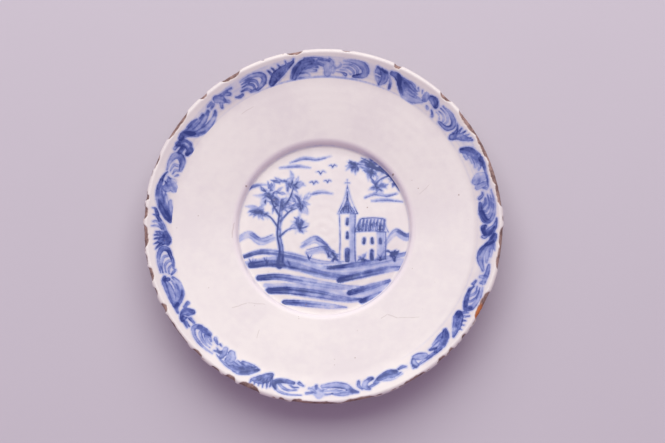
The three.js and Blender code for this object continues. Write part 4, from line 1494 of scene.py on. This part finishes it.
def painted_face(made, tint):
    """The glaze of the face: the painted light on its wall, the painting in it, its scratches and
    its specks.
    """
    # painted light: the glaze on the wall of the well is made paler and pinker, lightening its
    # shade
    tint = made.mix(made.value("painted_wall_light_share"), tint, rgba("painted_wall_light"))
    ragged = made.math("SUBTRACT", made.noise(1.5, 3, 0.6), 0.5)
    streaks = made.times(made.noise(6.5, 4, 0.55), 1.9)
    grain = made.times(made.noise(0.9, 2, 0.6), 0.3)
    uneven = made.plus(made.plus(streaks, grain), -0.22)
    edges, tones = made.layers("paint_edge"), made.layers("paint_tone")
    clear = 1.0
    for layer, (wobble, soft) in enumerate(PAINT_EDGES):
        edge = made.plus(edges[layer], made.times(ragged, wobble))
        bled = made.spread(edge, -1.35, 0.2, 0.0, 0.36)  # into the glaze beside the stroke
        cover = made.math("MAXIMUM", made.spread(edge, -soft, soft), bled)
        strength = made.times(made.times(tones[layer], uneven), cover)
        if layer == BODY:
            pooled = made.spread(edge, 0.2, 1.3, 1.1, 0.8)  # along the edge of the stroke
            strength = made.times(strength, pooled)
        left = made.math("SUBTRACT", 1.0, strength, clamp=True)
        clear = made.times(clear, left)
    density = made.math("SUBTRACT", 1.0, clear, clamp=True)
    stops = [(at, share_of(rgba(name), rgba("glaze"))) for at, name in PAINT_COLOURS]
    cobalt = made.ramp(density, (0.0, (1, 1, 1, 1)), *stops)
    tint = made.mix(1.0, tint, cobalt, "MULTIPLY")
    wander = made.times(made.math("SUBTRACT", made.noise(7, 2), 0.5), 0.0022)
    marks = 0.0
    for start, end, width in SCRATCHES:
        marks = made.math("MAXIMUM", marks, made.near_line(start, end, width, wander))
    marks = made.times(marks, SCRATCH_STRENGTH)
    for centre, width in SPECKS:
        marks = made.math("MAXIMUM", marks, made.near_spot(centre, width))
    return made.mix(made.times(marks, made.value("on_face")), tint, rgba("stain"))


def glaze_material(painted):
    """Opaque white tin glaze with pinholes, which thins out where it ends."""
    made = Nodes("tin_glaze_painted" if painted else "tin_glaze_plain")
    cloud = made.plus(made.times(made.noise(34, 3), 0.7), made.times(made.noise(5, 3), 0.3))
    tint = made.mix(made.spread(cloud, 0.38, 0.66), rgba("glaze"), rgba("glaze_shade"))
    if painted:
        tint = painted_face(made, tint)
    gap, chance = made.spots(7.5)
    rare = made.spread(chance, 0.72, 0.74)
    hole = made.times(made.spread(gap, 0.02, 0.055, 1.0, 0.0), rare)
    tint = made.mix(made.times(hole, 0.55), tint, rgba("stain"))
    covered = made.plus(made.value("covered"), made.times(made.noise(0.8, 2), 0.3))
    thin = made.spread(covered, 0.1, 0.75, 0.75, 0.0)
    gloss = made.spread(made.noise(9, 3), 0.3, 0.7, 0.13, 0.24)
    made.put(made.shader.inputs["Base Color"], made.mix(thin, tint, rgba("thin_edge")))
    made.put(made.shader.inputs["Roughness"], made.plus(gloss, made.times(thin, 0.2)))
    made.shader.inputs["IOR"].default_value = 1.5
    made.shader.inputs["Specular IOR Level"].default_value = 0.32
    unbroken = made.math("SUBTRACT", 1.0, hole)
    made.bump((made.noise(4.2, 2), 0.05), (made.noise(0.9, 2), 0.012), (unbroken, 0.05))
    return made.material


def share_of(tint, white):
    """What a layer of colour lets through of white to look like tint."""
    return (*(min(part / whole, 1) for part, whole in zip(tint[:3], white[:3])), 1)


def clay_material():
    """Bare, broken earthenware: grainy, dirty in patches and flashed orange at one place."""
    made = Nodes("broken_clay")
    grain = made.noise(0.7, 4, 0.65)
    patches = made.noise(5, 4, 0.6)
    tint = made.mix(made.spread(patches, 0.36, 0.62), rgba("clay"), rgba("clay_dark"))
    pale = (*(min(part * 1.5, 1) for part in rgba("clay")[:3]), 1)
    light = made.mix(made.spread(grain, 0.5, 0.75), tint, pale)
    warm = made.mix(made.value("flashed"), light, rgba("clay_warm"))
    gap, chance = made.spots(1.3)
    speck = made.times(made.spread(gap, 0.1, 0.25, 1.0, 0.0), made.spread(chance, 0.6, 0.62))
    tint = made.mix(made.times(speck, 0.6), warm, rgba("clay_dark"))
    made.put(made.shader.inputs["Base Color"], tint)
    made.put(made.shader.inputs["Roughness"], made.spread(grain, 0.3, 0.7, 0.72, 0.95))
    made.shader.inputs["IOR"].default_value = 1.45
    made.bump((made.noise(2.4, 3), 0.18), (grain, 0.12))
    return made.material


def floor_material():
    """A plain matt surface."""
    made = Nodes("plain_floor")
    shade = made.noise(160, 2)
    bright = rgba("floor")
    dull = (*(c * 0.97 for c in bright[:3]), 1)
    made.put(made.shader.inputs["Base Color"], made.mix(shade, bright, dull))
    made.shader.inputs["Roughness"].default_value = 0.85
    made.shader.inputs["Specular IOR Level"].default_value = 0.25
    return made.material


# The pieces

FINE_FACE = 109.0  # radius from which the face is finely divided out to the lip, in mm
FINE_BACK = 108.0  # radius on the back at which that ends
BORDER_START = 101.0  # radius inside the painted border
WELL_END = 63.0  # radius just outside the well
WELL_PAINTED = 60.0  # radius inside which the picture in the well is painted
WALL_FOOT = (57, 59)  # radii between which the painted light on the wall of the well comes in
WALL_EDGE = (59.8, 62.8)  # and between which it goes out again
FOOT_REACH = 6  # how far from the standing edge the back is finely divided, in mm
FOOT_TUCK = 0.9  # how far each coat is worked out past the near side of that edge, in mm
# How finely the surface is divided, along the outline and round the plate, in mm
LIP_CELLS = (0.48, 0.62)
BACK_CELLS = (1.8, 2.4)
FOOT_CELLS = (0.4, 0.6)


def lip_span(outline):
    """From where to where the surface is finely divided, over the lip."""
    return outline.face_at(FINE_FACE), outline.back_at(FINE_BACK)


def coat_zones(outline, fine):
    """How finely each stretch of a coat is divided: start, end, step along it and cell."""
    edge, border = outline.face_at(WELL_END), outline.face_at(BORDER_START)
    start, end = lip_span(outline)
    foot = outline.foot_out - FOOT_REACH
    face = [(0, start, 1.5, 3.5)]
    if fine:
        face = [(0, edge, 0.5, 0.6), (edge, border, 1.6, 1.9), (border, start, 0.5, 0.62)]
    return [
        *face,
        (start, end, *LIP_CELLS),
        (end, foot, *BACK_CELLS),
        (foot, outline.foot_out + FOOT_TUCK, *FOOT_CELLS),
    ]


def make_clay():
    """The fired clay, from the axis over the face, lip and back to the recess."""
    size = sizes()
    outline = Outline(size)
    start, end = lip_span(outline)
    foot, recess = outline.foot_out - FOOT_REACH, outline.foot_in + FOOT_REACH
    zones = [
        (0, start, 1.2, 2.6),
        (start, end, *LIP_CELLS),
        (end, foot, *BACK_CELLS),
        (foot, recess, *FOOT_CELLS),
        (recess, outline.end, 2.4, 3.0),
    ]
    rings = Rings(outline, zones)
    surface = Surface(outline, size, rings)
    degrees = np.degrees(rings.turn)
    first, last = FLASHED
    flashed = smooth_step(degrees, first - 1, first + 1) * smooth_step(-degrees, -last - 1, -last)
    flashed *= np.hypot(*surface.flat.T) > BORDER_START
    values = {"flashed": flashed}
    piece = mesh_object("fired_clay", surface.points, rings.faces(), clay_material(), values)
    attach(piece, "root")
    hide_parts("clay_body")


def make_coat():
    """The painted coat over the face, lip and back."""
    size = sizes()
    outline = Outline(size)
    outer = Rings(outline, coat_zones(outline, fine=True))
    inner = Rings(outline, coat_zones(outline, fine=False))
    points, faces, above = glazed(size, outline, outer, inner)
    edge = np.full((outer.total, 3), OUTSIDE)
    tone = np.zeros((outer.total, 3))
    on_face = outer.along < outline.lip - 1
    out = np.hypot(*above.flat.T)
    for paint, where in ((paint_well, out < WELL_PAINTED), (paint_border, out > BORDER_START)):
        chosen = on_face & where
        painting = Painting(above.flat[chosen])
        paint(painting)
        edge[chosen], tone[chosen] = painting.edge, painting.tone
    # painted light: where the wall of the well is made paler and pinker
    painted_wall_light_share = smooth_step(out, *WALL_FOOT) * smooth_step(-out, -WALL_EDGE[1], -WALL_EDGE[0])
    values = {
        "paint_edge": edge,
        "paint_tone": tone,
        "covered": above.covered,
        "on_face": on_face.astype(float),
        "painted_wall_light_share": painted_wall_light_share * on_face,
    }
    material = glaze_material(painted=True)
    piece = mesh_object("glaze_over_face_and_back", points, faces, material, values)
    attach(piece, "root")
    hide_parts("glaze_coat")


def make_recess_glaze():
    """The coat in the recess inside the foot ring."""
    size = sizes()
    outline = Outline(size)
    recess = outline.foot_in + FOOT_REACH
    foot = (outline.foot_in - FOOT_TUCK, recess, *FOOT_CELLS)
    outer = Rings(outline, [foot, (recess, outline.end, *BACK_CELLS)])
    inner = Rings(outline, [foot, (recess, outline.end, 3.0, 3.5)])
    points, faces, above = glazed(size, outline, outer, inner)
    values = {"covered": above.covered}
    material = glaze_material(painted=False)
    piece = mesh_object("glaze_in_recess", points, faces, material, values)
    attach(piece, "root")
    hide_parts("recess_glaze")


# What the plate stands on, the light and the camera

CAMERA_DISTANCE = 1.5  # from the plate's middle, in metres
CAMERA_BELOW = math.radians(9.7)  # how far the camera stands below the plate's axis
CAMERA_ASIDE = math.radians(1.7)  # and to its right
CAMERA_LENS = 119.8  # in mm
CAMERA_SENSOR = 36  # width, in mm
VIEW_CENTRE = (0.0054, 0.0072)  # what the camera aims at, right of and above the middle
LAMP_DISTANCE = 1.8  # from the plate's middle, in metres
LAMP_TILT = math.radians(37)  # from the plate's axis towards the top of its picture
LAMP_SIZE = 2.0  # each side of the square lamp, in metres
LAMP_POWER = 35.6  # in watts
LAMP_COLOUR = (0.935, 1.0, 0.90)
FILL = (0.37, 0.282, 0.395, 1)  # light from all round
FLOOR_HALF = 6.0  # from the floor's middle to each side, in metres


def add_floor():
    """What the plate stands on."""
    half = FLOOR_HALF
    mesh = bpy.data.meshes.new("floor_mesh")
    corners = [(-half, -half, 0), (half, -half, 0), (half, half, 0), (-half, half, 0)]
    mesh.from_pydata(corners, [], [(0, 1, 2, 3)])
    mesh.materials.append(floor_material())
    floor = add_object("floor", mesh)


def add_lamp():
    """One large soft lamp, over the top of the picture."""
    data = bpy.data.lights.new("soft_lamp", "AREA")
    data.shape = "SQUARE"
    data.size = LAMP_SIZE
    data.energy = LAMP_POWER
    data.color = LAMP_COLOUR
    lamp = add_object("soft_lamp", data)
    to_lamp = Vector((0, math.sin(LAMP_TILT), math.cos(LAMP_TILT)))
    lamp.location = to_lamp * LAMP_DISTANCE
    lamp.rotation_euler = to_lamp.to_track_quat("Z", "Y").to_euler()
    lamp.visible_camera = False


def add_world():
    """Even light from all round, which is seen and mirrored as the colour of the floor."""
    world = bpy.data.worlds.new("even_light")
    bpy.context.scene.world = world
    world.use_nodes = True
    nodes, links = world.node_tree.nodes, world.node_tree.links
    nodes.clear()
    rays = nodes.new("ShaderNodeLightPath").outputs
    shown = rays["Is Camera Ray"]
    for ray in ("Is Glossy Ray", "Is Transmission Ray"):
        either = nodes.new("ShaderNodeMath")
        either.operation = "MAXIMUM"
        links.new(shown, either.inputs[0])
        links.new(rays[ray], either.inputs[1])
        shown = either.outputs[0]
    mixed = nodes.new("ShaderNodeMixShader")
    links.new(shown, mixed.inputs[0])
    for place, tint in enumerate((FILL, rgba("floor")), 1):
        light = nodes.new("ShaderNodeBackground")
        light.inputs["Color"].default_value = tint
        links.new(light.outputs[0], mixed.inputs[place])
    output = nodes.new("ShaderNodeOutputWorld")
    links.new(mixed.outputs[0], output.inputs["Surface"])


def add_camera():
    """The camera, where the photograph was taken from."""
    eye = bpy.data.cameras.new("front_camera")
    eye.lens = CAMERA_LENS
    eye.sensor_width = CAMERA_SENSOR
    eye.clip_start, eye.clip_end = 0.05, 50
    camera = add_object("front_camera", eye)
    below, aside = CAMERA_BELOW, CAMERA_ASIDE
    level = math.cos(below)
    back = Vector((math.sin(aside) * level, -math.sin(below), math.cos(aside) * level))
    right = Vector((0, 1, 0)).cross(back).normalized()
    up = back.cross(right)
    place = back * CAMERA_DISTANCE + right * VIEW_CENTRE[0] + up * VIEW_CENTRE[1]
    turn = Matrix((right, up, back)).transposed().to_4x4()
    camera.matrix_world = Matrix.Translation(place) @ turn
    bpy.context.scene.camera = camera


def make_stage():
    """A pale floor, one large soft lamp, even light from all round and the camera."""
    bpy.context.scene.view_settings.view_transform = "Standard"
    add_floor()
    add_lamp()
    add_world()
    add_camera()


class PLATE_OT_clay(bpy.types.Operator):
    """Turn the clay body, with its foot ring and its broken lip"""

    bl_idname = "plate.make_clay"
    bl_label = "Fired Clay"

    def execute(self, context):
        make_clay()
        return {"FINISHED"}


class PLATE_OT_coat(bpy.types.Operator):
    """Lay the painted glaze over the face, the lip and the back"""

    bl_idname = "plate.make_coat"
    bl_label = "Painted Glaze"

    def execute(self, context):
        make_coat()
        return {"FINISHED"}


class PLATE_OT_recess(bpy.types.Operator):
    """Lay the glaze in the recess inside the foot ring"""

    bl_idname = "plate.make_recess_glaze"
    bl_label = "Recess Glaze"

    def execute(self, context):
        make_recess_glaze()
        return {"FINISHED"}


class PLATE_OT_stage(bpy.types.Operator):
    """Set up the floor, the light and the camera"""

    bl_idname = "plate.make_stage"
    bl_label = "Floor, Light and Camera"

    def execute(self, context):
        make_stage()
        return {"FINISHED"}


class PLATE_PT_panel(bpy.types.Panel):
    """The plate's sizes and colours, and the steps that build it"""

    bl_idname = "PLATE_PT_panel"
    bl_label = "Tin-Glazed Plate"
    bl_space_type = "VIEW_3D"
    bl_region_type = "UI"
    bl_category = "Plate"

    def draw(self, context):
        layout = self.layout
        for title, group in (
            ("Sizes", context.scene.plate_sizes),
            ("Colours", context.scene.plate_colours),
        ):
            box = layout.box()
            box.label(text=title)
            for key in group.__annotations__:
                box.prop(group, key)
        for operator in OPERATORS:
            layout.operator(operator.bl_idname)


OPERATORS = (PLATE_OT_stage, PLATE_OT_clay, PLATE_OT_coat, PLATE_OT_recess)
CLASSES = (PlateSizes, PlateColours, *OPERATORS, PLATE_PT_panel)


def register():
    """Adds the plate's settings, steps and panel."""
    for cls in CLASSES:
        bpy.utils.register_class(cls)
    bpy.types.Scene.plate_sizes = bpy.props.PointerProperty(type=PlateSizes)
    bpy.types.Scene.plate_colours = bpy.props.PointerProperty(type=PlateColours)


def unregister():
    """Takes them away again."""
    del bpy.types.Scene.plate_sizes
    del bpy.types.Scene.plate_colours
    for cls in reversed(CLASSES):
        bpy.utils.unregister_class(cls)


def main():
    """Builds the plate and its stage."""
    register()
    bpy.ops.plate.make_stage()
    bpy.ops.plate.make_clay()
    bpy.ops.plate.make_coat()
    bpy.ops.plate.make_recess_glaze()


if __name__ == "__main__":
    main()
